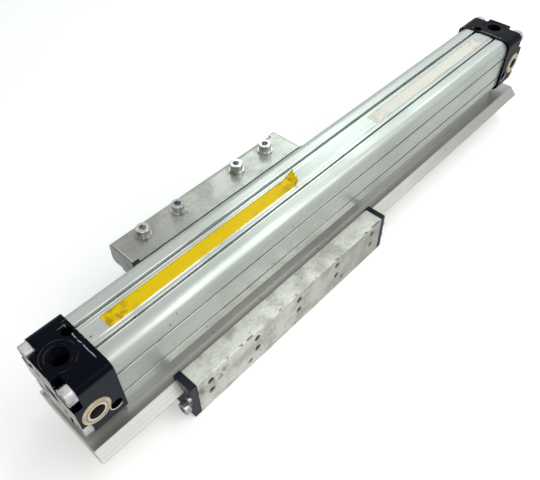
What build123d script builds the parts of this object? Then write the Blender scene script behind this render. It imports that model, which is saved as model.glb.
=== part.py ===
from build123d import *
import os

# Rodless pneumatic cylinder, 32 mm bore, on a V-rail slide. It stands on its carriage, so its slot faces down.
# +X runs to the far cap, +Z is up, and the origin is the centre of the carriage's load face.

# Travel and length
stroke = 281.0
near_travel = 50.0
end_allowance = 124.2
rail_near_overhang = 0.8
rail_far_overhang = 4.8

# Clearances
running_clear = 0.05
tapped_clear = 0.05
through_clear = 0.25
edge_clear = 0.3
slot_clear = 0.5

# Bore, barrel and slot
bore_r = 16.0
barrel_corner_r = 8.0
barrel_foot_slope_h = 5.6
barrel_foot_slope_w = 2.8
slot_width = 9.0
groove_at = 10.4
groove_mouth = 2.4
groove_width = 5.0
groove_depth = 3.4
groove_neck = 1.0
ledge_width = 3.1
ledge_depth = 0.5
flank_groove_mouth = 1.8
flank_groove_width = 4.4
foot_groove_edge = 6.7
foot_groove_mouth = 4.0
foot_groove_width = 6.0
foot_groove_depth = 2.2
foot_groove_neck = 0.7

# Sealing bands
band_width = 13.0
band_t = 0.6
inner_land = 15.6
outer_recess = 0.9
inner_band_lift = 7.3
outer_band_drop = 7.1
band_ramp = 34.0

# End caps
cap_size = 52.0
cap_overhang = 0.8
cap_side_overhang = 2.2
cap_length = 30.8
cap_corner_r = 6.0
spigot_length = 5.0
spigot_r = 15.9
recess_depth = 6.2
recess_r = 9.4
cap_screw_edge_y = 7.1
cap_screw_edge_z = 7.0
cap_screw_r = 3.0
cap_screw_head_r = 6.5
cap_screw_head_h = 6.0
cap_screw_key = 6.0
cap_screw_length = 38.0
port_r = 6.58
port_depth = 12.0
port_passage_r = 3.6
top_port_at = 12.9
side_port_at = 11.9
side_port_drop = 2.5
spotface_r = 11.0
spotface_depth = 0.3
end_port_depth = 7.5
chamber_r = 4.2
small_hole_at = 25.9
small_hole_side = 10.5
small_hole_r = 3.5
small_hole_depth = 7.0
mount_hole_r = 2.1
mount_hole_depth = 10.0
mount_hole_y = 10.0
mount_hole_z = 10.0
bush_flange_r = 10.0
bush_flange_t = 1.0
bush_bore_r = 5.2
bush_length = 11.0
plug_length = 7.0
plug_key = 6.0
cushion_screw_at = 24.3
cushion_screw_height = 14.0
cushion_screw_r = 2.35
cushion_screw_length = 7.5
cushion_screw_key = 2.5
cushion_mouth_r = 4.2
cushion_mouth_depth = 3.2
cushion_tip_r = 1.2
cushion_tip_length = 3.5
tube_r = 6.0
tube_seat = 10.0
tube_reach = 14.0
seal_ring_width = 2.2
seal_ring_depth = 1.5

# Band clamps
clamp_length = 12.0
clamp_half_width = 11.0
clamp_t = 3.0
clamp_screw_y = 8.9
clamp_screw_r = 1.5
clamp_screw_length = 9.0

# Guide rail
rail_foot_half = 3.5
rail_flank_width = 7.0
rail_tip_flat = 1.0
rail_h = 14.6
rail_foot_h = 12.0
rail_end_hole_y = 21.5
rail_end_hole_r = 3.4
rail_end_hole_depth = 12.0
bridge_length = 10.0
bridge_key_from = 2.5
bridge_key_to = 7.5
bridge_key_depth = 2.0
bridge_key_half = 3.0
lock_screw_r = 1.95
lock_screw_key = 2.0
lock_screw_length = 20.0
lock_screw_count = 5
lock_screw_margin = 40.0

# Piston
end_gap = 0.5
yoke_r = 15.5
yoke_hump = 24.0
head_r = 15.6
head_length = 30.0
socket_r = 6.6
socket_depth = 15.0
head_screw_r = 3.0
head_screw_head_r = 5.0
head_screw_head_h = 6.0
head_screw_length = 24.0
seal_groove_r = 12.5
piston_seal_width = 5.0
piston_seal_at = 5.0
wear_ring_width = 8.0
wear_ring_at = 18.0
wear_groove_r = 14.0
cushion_seal_width = 3.0
cushion_seal_r = 9.0
tunnel_half = 7.2
tunnel_low = 9.2
tunnel_high = 6.2
saddle_t = 4.0
saddle_gap = 1.0
saddle_side_gap = 1.0
cheek_h = 3.0
magnet_length = 30.0
magnet_width = 8.0
magnet_h = 5.0
magnet_base = 7.0

# Driver block, screws and band shoes
driver_length = 140.0
driver_screw_x = 16.0
driver_screw_r = 2.0
driver_screw_head_r = 3.5
driver_screw_head_h = 4.0
driver_screw_sink = 5.5
shoe_length = 18.0
shoe_inset = 2.0
shoe_clear = 0.1

# Carriage
carriage_length = 206.4
carriage_half_width = 45.1
plate_t = 13.0
rail_underside_gap = 4.9
lip_t = 4.0
lip_gap = 1.0
leg_chamfer = 0.8
element_back_edge = 6.8
element_web = 2.2
element_nose_in = 1.9
bar_t = 2.0
bar_end_gap = 3.2
bar_side_gap = 1.0
set_screw_r = 2.85
set_screw_length = 3.6
set_screw_margin = 11.8
set_screw_rows = 5
set_screw_half_gap = 6.2
set_screw_drop = 2.5
set_screw_key = 3.0
grease_hole_x = 53.8
grease_hole_z = 8.3
grease_hole_r = 2.5
grease_hole_depth = 10.0
load_hole_r = 2.5
load_hole_depth = 10.5
load_hole_edge = 13.1
load_hole_near_x = 32.0
load_hole_margin = 23.2

# Wiper plates
wiper_t = 5.7
wiper_inset = 0.4
wiper_gap = 0.3
wiper_tongue = 1.5
felt_t = 2.5
felt_depth = 2.5
felt_root_in = 0.1
wiper_screw_edge = 7.1
wiper_screw_z = 9.4
wiper_screw_r = 2.5
wiper_screw_head_r = 5.0
wiper_screw_head_h = 5.0
wiper_screw_length = 16.0
trim_screw_edge = 2.3
trim_screw_z = 25.6
trim_screw_r = 1.25
trim_screw_head_r = 2.0
trim_screw_head_h = 2.5
trim_screw_length = 12.0

# Side bracket on the left leg
riser_length = 165.0
riser_inner_edge = 8.6
riser_outer_reach = 8.9
riser_flange_t = 8.3
riser_h = 28.5
riser_screw_edge = 4.0
riser_screw_x = (70.0, 23.0)
riser_screw_r = 2.0
riser_screw_head_r = 3.5
riser_screw_head_h = 4.0
riser_screw_grip = 10.0
spacer_t = 8.2
spacer_inner_y = 33.0
spacer_outer_y = 59.8
spacer_chamfer = 2.5
spacer_short = 6.0
top_plate_t = 9.5
top_plate_length = 169.5
top_plate_inner_y = 31.0
top_plate_outer_y = 59.3
bevel_width = 3.4
bevel_drop = 1.3
top_screw_x = (62.4, 29.9)
top_screw_reach = 2.9
top_screw_r = 3.0
top_screw_head_r = 5.0
top_screw_head_h = 6.0
top_screw_length = 24.0
washer_r = 6.0
washer_t = 1.5
notch_length = 5.4
notch_depth = 2.6
strip_t = 2.2
strip_h = 22.0
strip_drop = 1.2
strip_end_out = 3.0

# Places that follow from the sizes above
barrel_size = cap_size - 2 * cap_overhang
cap_width = barrel_size + 2 * cap_side_overhang
cap_screw_y = cap_width / 2 - cap_screw_edge_y
cap_screw_z = cap_size / 2 - cap_screw_edge_z
foot_groove_at = barrel_size / 2 - foot_groove_edge
element_outer_y = carriage_half_width - element_back_edge
rail_tip_y = element_outer_y - element_web
rail_root_y = rail_tip_y - rail_flank_width
element_nose_y = rail_root_y + element_nose_in
leg_inner_y = rail_root_y + edge_clear
wiper_tongue_y = rail_root_y - wiper_tongue
felt_root_y = rail_root_y - felt_root_in
load_hole_y = carriage_half_width - load_hole_edge
wiper_screw_y = carriage_half_width - wiper_screw_edge
trim_screw_y = carriage_half_width - trim_screw_edge
riser_inner_y = carriage_half_width - riser_inner_edge
riser_outer_y = carriage_half_width + riser_outer_reach
riser_screw_y = carriage_half_width - riser_screw_edge
top_screw_y = carriage_half_width + top_screw_reach
rail_inner_y = foot_groove_at - rail_foot_half
rail_foot_y = foot_groove_at + rail_foot_half
saddle_half = rail_inner_y - saddle_side_gap
rail_z0 = plate_t + rail_underside_gap
rail_mid_z = rail_z0 + rail_h / 2
rail_z1 = rail_z0 + rail_h
barrel_z0 = rail_z1 + rail_foot_h
axis_z = barrel_z0 + barrel_size / 2
near_face_x = -(end_allowance + near_travel)
far_face_x = end_allowance + stroke - near_travel
middle_x = (near_face_x + far_face_x) / 2
barrel_x0 = near_face_x + cap_length
barrel_x1 = far_face_x - cap_length
rail_x0 = near_face_x - rail_near_overhang
rail_x1 = far_face_x + rail_far_overhang
band_top = inner_land - band_t
band_flat = band_top - running_clear
piston_half = end_allowance - cap_length - spigot_length - end_gap
yoke_half = piston_half - head_length
outer_band_z = barrel_z0 + outer_recess - band_t / 2
saddle_z1 = barrel_z0 - saddle_gap
saddle_z0 = saddle_z1 - saddle_t
driver_top = saddle_z0 - cheek_h
cavity_z1 = rail_z1 + lip_gap
leg_z1 = cavity_z1 + lip_t
right_cavity_y = element_outer_y + bar_t + running_clear
left_cavity_y = element_outer_y + running_clear
spacer_z0 = leg_z1 + riser_h
top_plate_z0 = spacer_z0 + spacer_t
top_plate_z1 = top_plate_z0 + top_plate_t


def along_x(section, x0, x1):
    """Extrude a section drawn in Y and Z from x0 to x1."""
    return extrude(Plane.YZ.offset(x0) * section, amount=x1 - x0, dir=(1, 0, 0))


def rod(start, end, radius):
    """Round bar from one point to another."""
    run = Vector(*end) - Vector(*start)
    plane = Plane(origin=start, z_dir=run)
    return extrude(plane * Circle(radius), amount=run.length)


def block(x0, x1, y0, y1, z0, z1):
    """Box between two corners."""
    return Pos(x0, y0, z0) * Box(x1 - x0, y1 - y0, z1 - z0, align=(Align.MIN, Align.MIN, Align.MIN))


def rect(y0, y1, z0, z1):
    """Rectangle between two corners of a section."""
    return Pos(y0, z0) * Rectangle(y1 - y0, z1 - z0, align=(Align.MIN, Align.MIN))


def polygon(*points):
    """Closed outline through the points of a section."""
    return Polygon(*points, align=None)


def to_far(part):
    """The same piece at the other end of the cylinder."""
    return mirror(part, about=Plane.YZ.offset(middle_x))


def to_other_end(part):
    """The same piece at the other end of the carriage."""
    return mirror(part, about=Plane.YZ)


def to_right(part):
    """The same piece on the right-hand side."""
    return mirror(part, about=Plane.XZ)


def cap_screw(seat, out, shank_r, length, head_r, head_h, key):
    """Socket-head screw whose head stands on the seat point and faces out."""
    head = extrude(Circle(head_r), amount=head_h)
    head = chamfer(head.edges().group_by(Axis.Z)[-1], length=head_h / 16)
    head -= Pos(0, 0, head_h * 0.4) * extrude(RegularPolygon(key / 2, 6, major_radius=False), amount=head_h)
    shank = Pos(0, 0, -length) * extrude(Circle(shank_r), amount=length + running_clear)
    return Plane(origin=seat, z_dir=out) * (head + shank)


def grub_screw(face, out, radius, length, key):
    """Headless screw with its socket end at the face point."""
    body = Pos(0, 0, -length) * extrude(Circle(radius), amount=length)
    body -= Pos(0, 0, -length / 2) * extrude(RegularPolygon(key / 2, 6, major_radius=False), amount=length)
    return Plane(origin=face, z_dir=out) * body


def undercut(mouth, width, depth, neck, shrink=0.0):
    """Groove outline that is wider inside than at its mouth, cut down from the line z = 0."""
    m = mouth / 2 - shrink
    w = width / 2 - shrink
    d = depth - shrink
    n = neck + (0.0 if shrink == 0 else shrink)
    top = 0.0 if shrink else 0.5
    slant = (width - mouth) / 2
    s = n + slant
    return polygon((-m, top), (m, top), (m, -n), (w, -s), (w, -d), (-w, -d), (-w, -s), (-m, -n))


def barrel_section():
    """Square profile with its bore, slot, grooves and screw channels, drawn about the bore's axis."""
    half = barrel_size / 2
    section = RectangleRounded(barrel_size, barrel_size, barrel_corner_r) + rect(-half, half, -half, 0)
    for side in (-1, 1):
        section -= polygon((side * half, barrel_foot_slope_h - half), (side * (half + 1), barrel_foot_slope_h - half),
                           (side * (half + 1), -half - 1), (side * (half - barrel_foot_slope_w), -half - 1),
                           (side * (half - barrel_foot_slope_w), -half))
    section -= Circle(bore_r)
    section -= rect(-slot_width / 2, slot_width / 2, -half - 1, 0)
    land_half = (band_width + slot_clear) / 2
    section -= rect(-land_half, land_half, -inner_land, 0)
    section -= rect(-land_half, land_half, -half - 1, -half + outer_recess)
    groove = undercut(groove_mouth, groove_width, groove_depth, groove_neck)
    ledge = rect(-groove_mouth / 2 - ledge_width, 0, -ledge_depth, 0.5)
    flank_groove = undercut(flank_groove_mouth, flank_groove_width, groove_depth, groove_neck)
    for side in (-1, 1):
        section -= Pos(side * groove_at, half) * groove
        section -= Pos(side * groove_at, half) * (ledge if side > 0 else mirror(ledge, about=Plane.YZ))
        for turn in (90, -90):
            section -= Rot(0, 0, turn) * (Pos(side * groove_at, half) * flank_groove)
    foot_groove = undercut(foot_groove_mouth, foot_groove_width, foot_groove_depth, foot_groove_neck)
    for side in (-1, 1):
        section -= Pos(side * foot_groove_at, -half) * Rot(0, 0, 180) * foot_groove
    for y in (-cap_screw_y, cap_screw_y):
        for z in (-cap_screw_z, cap_screw_z):
            section -= Pos(y, z) * Circle(cap_screw_r + tapped_clear)
    return section


def barrel():
    """Extruded barrel with the tapped holes of the band clamps."""
    part = along_x(Pos(0, axis_z) * barrel_section(), barrel_x0, barrel_x1)
    hole_top = barrel_z0 + clamp_screw_length - clamp_t + 1
    for x in (clamp_centre_x(), 2 * middle_x - clamp_centre_x()):
        for y in (-clamp_screw_y, clamp_screw_y):
            part -= rod((x, y, barrel_z0 - 1), (x, y, hole_top), clamp_screw_r + tapped_clear)
    return part


def clamp_centre_x():
    """Middle of the near band clamp along the cylinder."""
    return barrel_x0 + edge_clear + clamp_length / 2


def cap_corners():
    """Corner places of a cap's screws, as Y and Z."""
    return [(y, axis_z + z) for y in (-cap_screw_y, cap_screw_y) for z in (-cap_screw_z, cap_screw_z)]


def near_cap():
    """End cap with corner recesses, ports, cushion screw hole, mounting holes and spigot."""
    half = cap_size / 2
    half_y = cap_width / 2
    x0 = near_face_x
    outline = Pos(0, axis_z) * RectangleRounded(cap_width, cap_size, cap_corner_r)
    part = along_x(outline, x0, barrel_x0)
    spigot_end = barrel_x0 + spigot_length
    spigot = along_x(Pos(0, axis_z) * Circle(spigot_r), barrel_x0, spigot_end)
    spigot -= block(barrel_x0, spigot_end, -half, half, axis_z - half, axis_z - band_flat)
    groove_x = barrel_x0 + spigot_length / 2
    groove_half = seal_ring_width / 2
    groove = along_x(Pos(0, axis_z) * Circle(spigot_r + 1), groove_x - groove_half, groove_x + groove_half)
    groove -= along_x(Pos(0, axis_z) * Circle(spigot_r - seal_ring_depth), barrel_x0, spigot_end)
    part += spigot - groove
    for y, z in cap_corners():
        out_y = half_y + 1 if y > 0 else -half_y - 1
        out_z = axis_z + (half + 1 if z > axis_z else -half - 1)
        part -= along_x(Pos(y, z) * Circle(recess_r), x0, x0 + recess_depth)
        part -= block(x0, x0 + recess_depth, min(y, out_y), max(y, out_y), z - recess_r, z + recess_r)
        part -= block(x0, x0 + recess_depth, y - recess_r, y + recess_r, min(z, out_z), max(z, out_z))
        part -= rod((x0, y, z), (barrel_x0, y, z), cap_screw_r + through_clear)
    part -= rod((x0, 0, axis_z), (x0 + end_port_depth, 0, axis_z), port_r)
    part -= rod((x0, 0, axis_z), (spigot_end, 0, axis_z), chamber_r)
    part -= rod((barrel_x0 - tube_seat, 0, axis_z), (spigot_end, 0, axis_z), tube_r + tapped_clear)
    top_x = x0 + top_port_at
    side_x = x0 + side_port_at
    side_z = axis_z - side_port_drop
    part -= rod((top_x, 0, axis_z + half + 1), (top_x, 0, axis_z + half - port_depth), port_r)
    part -= rod((top_x, 0, axis_z + half), (top_x, 0, axis_z + chamber_r / 2), port_passage_r)
    for side in (-1, 1):
        port_end = side * (half_y - port_depth)
        part -= rod((side_x, side * (half_y + 1), side_z), (side_x, port_end, side_z), port_r)
    part -= rod((side_x, -half_y, side_z), (side_x, half_y, side_z), port_passage_r)
    part -= rod((top_x, 0, axis_z + half - spotface_depth), (top_x, 0, axis_z + half + 1), spotface_r)
    hole_x = x0 + small_hole_at
    part -= rod((hole_x, small_hole_side, axis_z + half + 1),
                (hole_x, small_hole_side, axis_z + half - small_hole_depth), small_hole_r)
    for y in (-mount_hole_y, mount_hole_y):
        for z in (-mount_hole_z, mount_hole_z):
            part -= rod((x0, y, axis_z + z), (x0 + mount_hole_depth, y, axis_z + z), mount_hole_r)
    return part - cushion_screw_hole()


def cushion_place():
    """X and Z of the near cushion screw."""
    return near_face_x + cushion_screw_at, axis_z - cap_size / 2 + cushion_screw_height


def cushion_screw_hole():
    """Stepped hole of the cushion screw, in from the right-hand side."""
    x, z = cushion_place()
    side_y = -cap_width / 2
    mouth_end = side_y + cushion_mouth_depth
    thread_end = mouth_end + cushion_screw_length + edge_clear
    tip_end = thread_end + cushion_tip_length + edge_clear
    hole = rod((x, side_y - 1, z), (x, mouth_end, z), cushion_mouth_r)
    hole += rod((x, side_y, z), (x, thread_end, z), cushion_screw_r + running_clear)
    return hole + rod((x, thread_end, z), (x, tip_end, z), cushion_tip_r + running_clear)


def near_cushion_screw():
    """Cushion adjusting screw with a socket and a stepped needle."""
    x, z = cushion_place()
    y0 = -cap_width / 2 + cushion_mouth_depth
    y1 = y0 + cushion_screw_length
    body = grub_screw((x, y0, z), (0, -1, 0), cushion_screw_r, cushion_screw_length, cushion_screw_key)
    needle = Plane(origin=(x, y1, z), z_dir=(0, 1, 0)) * Cone(
        cushion_tip_r, cushion_tip_r / 2, cushion_tip_length, align=(Align.CENTER, Align.CENTER, Align.MIN))
    return body + needle


def near_cap_screws():
    """Four large-headed screws in the corner recesses."""
    seat_x = near_face_x + recess_depth
    return [cap_screw((seat_x, y, z), (-1, 0, 0), cap_screw_r, cap_screw_length, cap_screw_head_r,
                      cap_screw_head_h, cap_screw_key) for y, z in cap_corners()]


def near_cap_seal():
    """Seal ring in the spigot's groove, pressed flat over the inner band."""
    middle = barrel_x0 + spigot_length / 2
    half = seal_ring_width / 2 - running_clear
    ring = along_x(Pos(0, axis_z) * Circle(bore_r - running_clear), middle - half, middle + half)
    inner_r = spigot_r - seal_ring_depth + running_clear
    ring -= along_x(Pos(0, axis_z) * Circle(inner_r), middle - half, middle + half)
    return ring - band_side_cut(middle - half, middle + half)


def band_side_cut(x0, x1):
    """Space below the inner band's top, taken off what slides over the band."""
    return block(x0, x1, -bore_r, bore_r, axis_z - 2 * bore_r, axis_z - band_flat)


def near_cushion_tube():
    """Tube pressed into the cap, which enters the piston at the end of its travel."""
    x0 = barrel_x0 - tube_seat
    x1 = barrel_x0 + spigot_length + tube_reach
    tube = rod((x0, 0, axis_z), (x1, 0, axis_z), tube_r)
    tube = chamfer(tube.edges().group_by(Axis.X)[-1], length=tube_r / 10)
    return tube - rod((x0, 0, axis_z), (x1, 0, axis_z), chamber_r)


def near_port_bush():
    """Ring bush screwed into the right-hand side port."""
    x = near_face_x + side_port_at
    z = axis_z - side_port_drop
    y = -cap_width / 2
    bush = rod((x, y, z), (x, y + bush_length, z), port_r - tapped_clear)
    flange = rod((x, y - bush_flange_t, z), (x, y, z), bush_flange_r)
    bush += chamfer(flange.edges().group_by(Axis.Y)[0], length=bush_flange_t / 2)
    return bush - rod((x, y - bush_flange_t, z), (x, y + bush_length, z), bush_bore_r)


def near_port_plugs():
    """Socket plugs in the left-hand side port and in the end port."""
    x = near_face_x + side_port_at
    side_face = (x, cap_width / 2 - edge_clear, axis_z - side_port_drop)
    side_plug = grub_screw(side_face, (0, 1, 0), port_r - tapped_clear, plug_length, plug_key)
    end_face = (near_face_x + edge_clear, 0, axis_z)
    end_plug = grub_screw(end_face, (-1, 0, 0), port_r - tapped_clear, plug_length, plug_key)
    return [side_plug, end_plug]


def band_wave(flat_z, hump_z, shift):
    """Half of a band's line in the XZ plane, from the middle of its hump to its flat run."""
    hump_end = yoke_hump
    flat_start = yoke_hump + band_ramp
    middle = ((hump_end + flat_start) / 2, 0, (flat_z + hump_z) / 2 + shift)
    first = TangentArc((hump_end, 0, hump_z + shift), middle, tangent=(1, 0, 0))
    second = TangentArc(middle, (flat_start, 0, flat_z + shift), tangent=first % 1)
    return Line((0, 0, hump_z + shift), (hump_end, 0, hump_z + shift)), first, second


def band_half(flat_z, hump_z, end_x):
    """Strip from the carriage's middle to its end, with a hump where the yoke lifts it."""
    up = band_wave(flat_z, hump_z, band_t / 2)
    low = band_wave(flat_z, hump_z, -band_t / 2)
    start_x = yoke_hump + band_ramp
    top = Line((start_x, 0, flat_z + band_t / 2), (end_x, 0, flat_z + band_t / 2))
    bottom = Line((start_x, 0, flat_z - band_t / 2), (end_x, 0, flat_z - band_t / 2))
    start = Line((0, 0, hump_z - band_t / 2), (0, 0, hump_z + band_t / 2))
    end = Line((end_x, 0, flat_z - band_t / 2), (end_x, 0, flat_z + band_t / 2))
    face = make_face([*up, *low, top, bottom, start, end])
    return extrude(face, amount=band_width / 2, dir=(0, 1, 0), both=True)


def sealing_band(flat_z, hump_z):
    """Steel band over the whole barrel."""
    far_half = band_half(flat_z, hump_z, barrel_x1 - edge_clear)
    near_half = to_other_end(band_half(flat_z, hump_z, -barrel_x0 - edge_clear))
    return far_half + near_half


def inner_band():
    """Band that closes the slot inside the bore."""
    flat_z = axis_z - inner_land + band_t / 2
    return sealing_band(flat_z, flat_z + inner_band_lift)


def outer_band():
    """Band that covers the slot outside."""
    return sealing_band(outer_band_z, outer_band_z - outer_band_drop)


def near_band_clamp():
    """Plate that holds the outer band's end in its recess."""
    x = clamp_centre_x()
    half = clamp_length / 2
    part = block(x - half, x + half, -clamp_half_width, clamp_half_width, barrel_z0 - clamp_t, barrel_z0)
    boss_half = band_width / 2
    part += block(x - half, x + half, -boss_half, boss_half, barrel_z0 - clamp_t, outer_band_z - band_t / 2)
    for y in (-clamp_screw_y, clamp_screw_y):
        part -= rod((x, y, barrel_z0 - clamp_t), (x, y, barrel_z0 + 1), clamp_screw_r + through_clear)
    return part


def near_band_clamp_screws():
    """Two small screws of the band clamp, from below."""
    x = clamp_centre_x()
    sizes = (clamp_screw_r, clamp_screw_length, 2.0 * clamp_screw_r, clamp_screw_r, clamp_screw_r * 1.6)
    z = barrel_z0 - clamp_t
    return [cap_screw((x, y, z), (0, 0, -1), *sizes) for y in (-clamp_screw_y, clamp_screw_y)]


def rail_edge(offset, root_y):
    """Outline of the rail's V edge on the left, grown by an offset."""
    slant = 0.414 * offset
    tip_half = rail_tip_flat / 2 + slant
    return polygon((root_y, rail_z0 - offset), (rail_root_y + slant, rail_z0 - offset),
                   (rail_tip_y + offset, rail_mid_z - tip_half), (rail_tip_y + offset, rail_mid_z + tip_half),
                   (rail_root_y + slant, rail_z1 + offset), (root_y, rail_z1 + offset))


def lock_screw_places():
    """X of the rail's lock screws, spread evenly over the barrel."""
    first = barrel_x0 + lock_screw_margin
    pitch = (barrel_x1 - barrel_x0 - 2 * lock_screw_margin) / (lock_screw_count - 1)
    return [first + i * pitch for i in range(lock_screw_count)]


def lock_screw_top():
    """Upper end of the lock screws, at the floor of the barrel's foot groove."""
    return barrel_z0 + foot_groove_depth - running_clear


def left_rail():
    """Rail half with its V edge and a foot whose tongue hangs in the barrel's groove."""
    part = along_x(rail_edge(0, rail_inner_y), rail_x0, rail_x1)
    foot = rect(rail_inner_y, rail_foot_y, rail_z1 - 1, barrel_z0)
    tongue = undercut(foot_groove_mouth, foot_groove_width, foot_groove_depth, foot_groove_neck, 0.1)
    foot += Pos(foot_groove_at, barrel_z0) * Rot(0, 0, 180) * tongue
    part += along_x(foot, barrel_x0, barrel_x1)
    y = foot_groove_at
    for x in lock_screw_places():
        part -= rod((x, y, rail_z0), (x, y, lock_screw_top() + 1), lock_screw_r + tapped_clear)
    for x, inward in ((rail_x0, 1), (rail_x1, -1)):
        end = x + inward * rail_end_hole_depth
        part -= rod((x, rail_end_hole_y, rail_mid_z), (end, rail_end_hole_y, rail_mid_z), rail_end_hole_r)
        part -= bridge_key(x, inward, 0.0)
    return part


def bridge_key(end_x, inward, clear):
    """Cross key of a rail bridge, which sits in closed pockets of both rail halves."""
    xs = sorted((end_x + inward * (bridge_key_from + clear), end_x + inward * (bridge_key_to - clear)))
    half_y = rail_inner_y + bridge_key_depth - clear
    half_z = bridge_key_half - clear
    return block(xs[0], xs[1], -half_y, half_y, rail_mid_z - half_z, rail_mid_z + half_z)


def rail_bridge(end_x, inward):
    """Block that closes the gap between the rail halves, flush with the rail's end."""
    xs = sorted((end_x, end_x + inward * bridge_length))
    half_y = rail_inner_y - running_clear
    return block(xs[0], xs[1], -half_y, half_y, rail_z0, rail_z1) + bridge_key(end_x, inward, running_clear)


def left_rail_lock_screws():
    """Grub screws that jack the rail's tongue against its groove."""
    z0 = lock_screw_top() - lock_screw_length
    return [grub_screw((x, foot_groove_at, z0), (0, 0, -1), lock_screw_r, lock_screw_length, lock_screw_key)
            for x in lock_screw_places()]


def piston_yoke():
    """Piston middle with the inner band's tunnel, the web through the slot and the saddle outside."""
    body = along_x(Pos(0, axis_z) * Circle(yoke_r), -yoke_half, yoke_half)
    window = block(-yoke_hump, yoke_hump, -tunnel_half, tunnel_half, axis_z - tunnel_low, axis_z - tunnel_high)
    body -= window
    for x0, x1 in ((-yoke_half, -yoke_hump), (yoke_hump, yoke_half)):
        body -= block(x0, x1, -tunnel_half, tunnel_half, axis_z - 2 * yoke_r, axis_z - tunnel_high)
    body -= block(-magnet_length / 2, magnet_length / 2, -magnet_width / 2, magnet_width / 2,
                  axis_z + magnet_base, axis_z + yoke_r)
    web_half = slot_width / 2 - slot_clear
    web_x = yoke_hump - 2
    body += block(-web_x, web_x, -web_half, web_half, saddle_z0, axis_z - tunnel_low)
    saddle = block(-web_x, web_x, -saddle_half, saddle_half, saddle_z0, saddle_z1)
    for y0, y1 in ((-saddle_half, -tunnel_half), (tunnel_half, saddle_half)):
        saddle += block(-web_x, web_x, y0, y1, driver_top, saddle_z0)
    body += saddle
    for x, y in driver_screw_places():
        body -= rod((x, y, driver_top), (x, y, saddle_z1), driver_screw_r + tapped_clear)
    for x0, x1 in ((-yoke_half, -yoke_half + head_screw_grip()), (yoke_half - head_screw_grip(), yoke_half)):
        body -= rod((x0, 0, axis_z), (x1, 0, axis_z), head_screw_r + tapped_clear)
    return body


def head_screw_seat():
    """X of the far head screw's seat, at the bottom of the piston head's socket."""
    return piston_half - socket_depth - head_screw_head_h - edge_clear


def head_screw_grip():
    """Depth of the head screw's thread in the yoke."""
    return head_screw_length - (head_screw_seat() - yoke_half) + edge_clear


def far_piston_head():
    """Turned piston head with grooves for the seal and wear ring and a socket for the cushion tube."""
    part = along_x(Pos(0, axis_z) * Circle(head_r), yoke_half, piston_half)
    part -= band_side_cut(yoke_half, piston_half)
    for start, width, root in ((piston_seal_at, piston_seal_width, seal_groove_r),
                               (wear_ring_at, wear_ring_width, wear_groove_r)):
        x1 = piston_half - start
        x0 = x1 - width
        groove = along_x(Pos(0, axis_z) * Circle(head_r + 1), x0, x1)
        part -= groove - along_x(Pos(0, axis_z) * Circle(root), x0, x1)
    part -= rod((piston_half - socket_depth, 0, axis_z), (piston_half, 0, axis_z), socket_r)
    part -= rod((head_screw_seat(), 0, axis_z), (piston_half, 0, axis_z), head_screw_head_r + through_clear)
    part -= rod((piston_half - cushion_seal_width, 0, axis_z), (piston_half, 0, axis_z), cushion_seal_r)
    part -= rod((yoke_half, 0, axis_z), (piston_half, 0, axis_z), head_screw_r + through_clear)
    return part


def far_piston_seal():
    """Lip seal of the far piston head, cut flat where it slides on the inner band."""
    x1 = piston_half - piston_seal_at - running_clear
    x0 = x1 - piston_seal_width + 2 * running_clear
    ring = along_x(Pos(0, axis_z) * Circle(bore_r - running_clear), x0, x1)
    ring -= band_side_cut(x0, x1)
    lip = along_x(Pos(0, axis_z) * Circle(bore_r - 1.0), x1 - 1.5, x1)
    lip -= along_x(Pos(0, axis_z) * Circle(bore_r - 2.0), x1 - 1.5, x1)
    return ring - along_x(Pos(0, axis_z) * Circle(seal_groove_r + running_clear), x0, x1) - lip


def far_wear_ring():
    """Guide ring of the far piston head."""
    x1 = piston_half - wear_ring_at - running_clear
    x0 = x1 - wear_ring_width + 2 * running_clear
    ring = along_x(Pos(0, axis_z) * Circle(bore_r - running_clear), x0, x1)
    ring -= along_x(Pos(0, axis_z) * Circle(wear_groove_r + running_clear), x0, x1)
    return ring - band_side_cut(x0, x1)


def far_cushion_seal():
    """Ring in the mouth of the piston's socket, which closes on the cushion tube."""
    x0 = piston_half - cushion_seal_width + running_clear
    ring = rod((x0, 0, axis_z), (piston_half, 0, axis_z), cushion_seal_r - running_clear)
    return ring - rod((x0, 0, axis_z), (piston_half, 0, axis_z), tube_r + running_clear)


def far_head_screw():
    """Screw that holds the far piston head on the yoke."""
    return cap_screw((head_screw_seat(), 0, axis_z), (1, 0, 0), head_screw_r, head_screw_length,
                     head_screw_head_r, head_screw_head_h, plug_key * 0.8)


def piston_magnet():
    """Bar magnet in the yoke's pocket, for position switches on the barrel."""
    half_x = magnet_length / 2 - running_clear
    half_y = magnet_width / 2 - running_clear
    return block(-half_x, half_x, -half_y, half_y, axis_z + magnet_base, axis_z + magnet_base + magnet_h)


def driver_screw_places():
    """X and Y of the screws that join carriage, driver and yoke."""
    y = (tunnel_half + saddle_half) / 2
    return [(sx * driver_screw_x, sy * y) for sx in (-1, 1) for sy in (-1, 1)]


def driver_block():
    """Block between the carriage plate and the yoke's saddle."""
    half = driver_length / 2
    part = block(-half, half, -saddle_half, saddle_half, plate_t, driver_top)
    part = chamfer(part.edges().filter_by(Axis.Z), length=2.0)
    for x, y in driver_screw_places():
        part -= rod((x, y, plate_t), (x, y, driver_top), driver_screw_r + through_clear)
    return part


def driver_screws():
    """Four screws from the load face into the yoke's saddle."""
    length = saddle_z1 - edge_clear - driver_screw_sink
    return [cap_screw((x, y, driver_screw_sink), (0, 0, -1), driver_screw_r, length, driver_screw_head_r,
                      driver_screw_head_h, driver_screw_head_h * 0.75) for x, y in driver_screw_places()]


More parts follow.
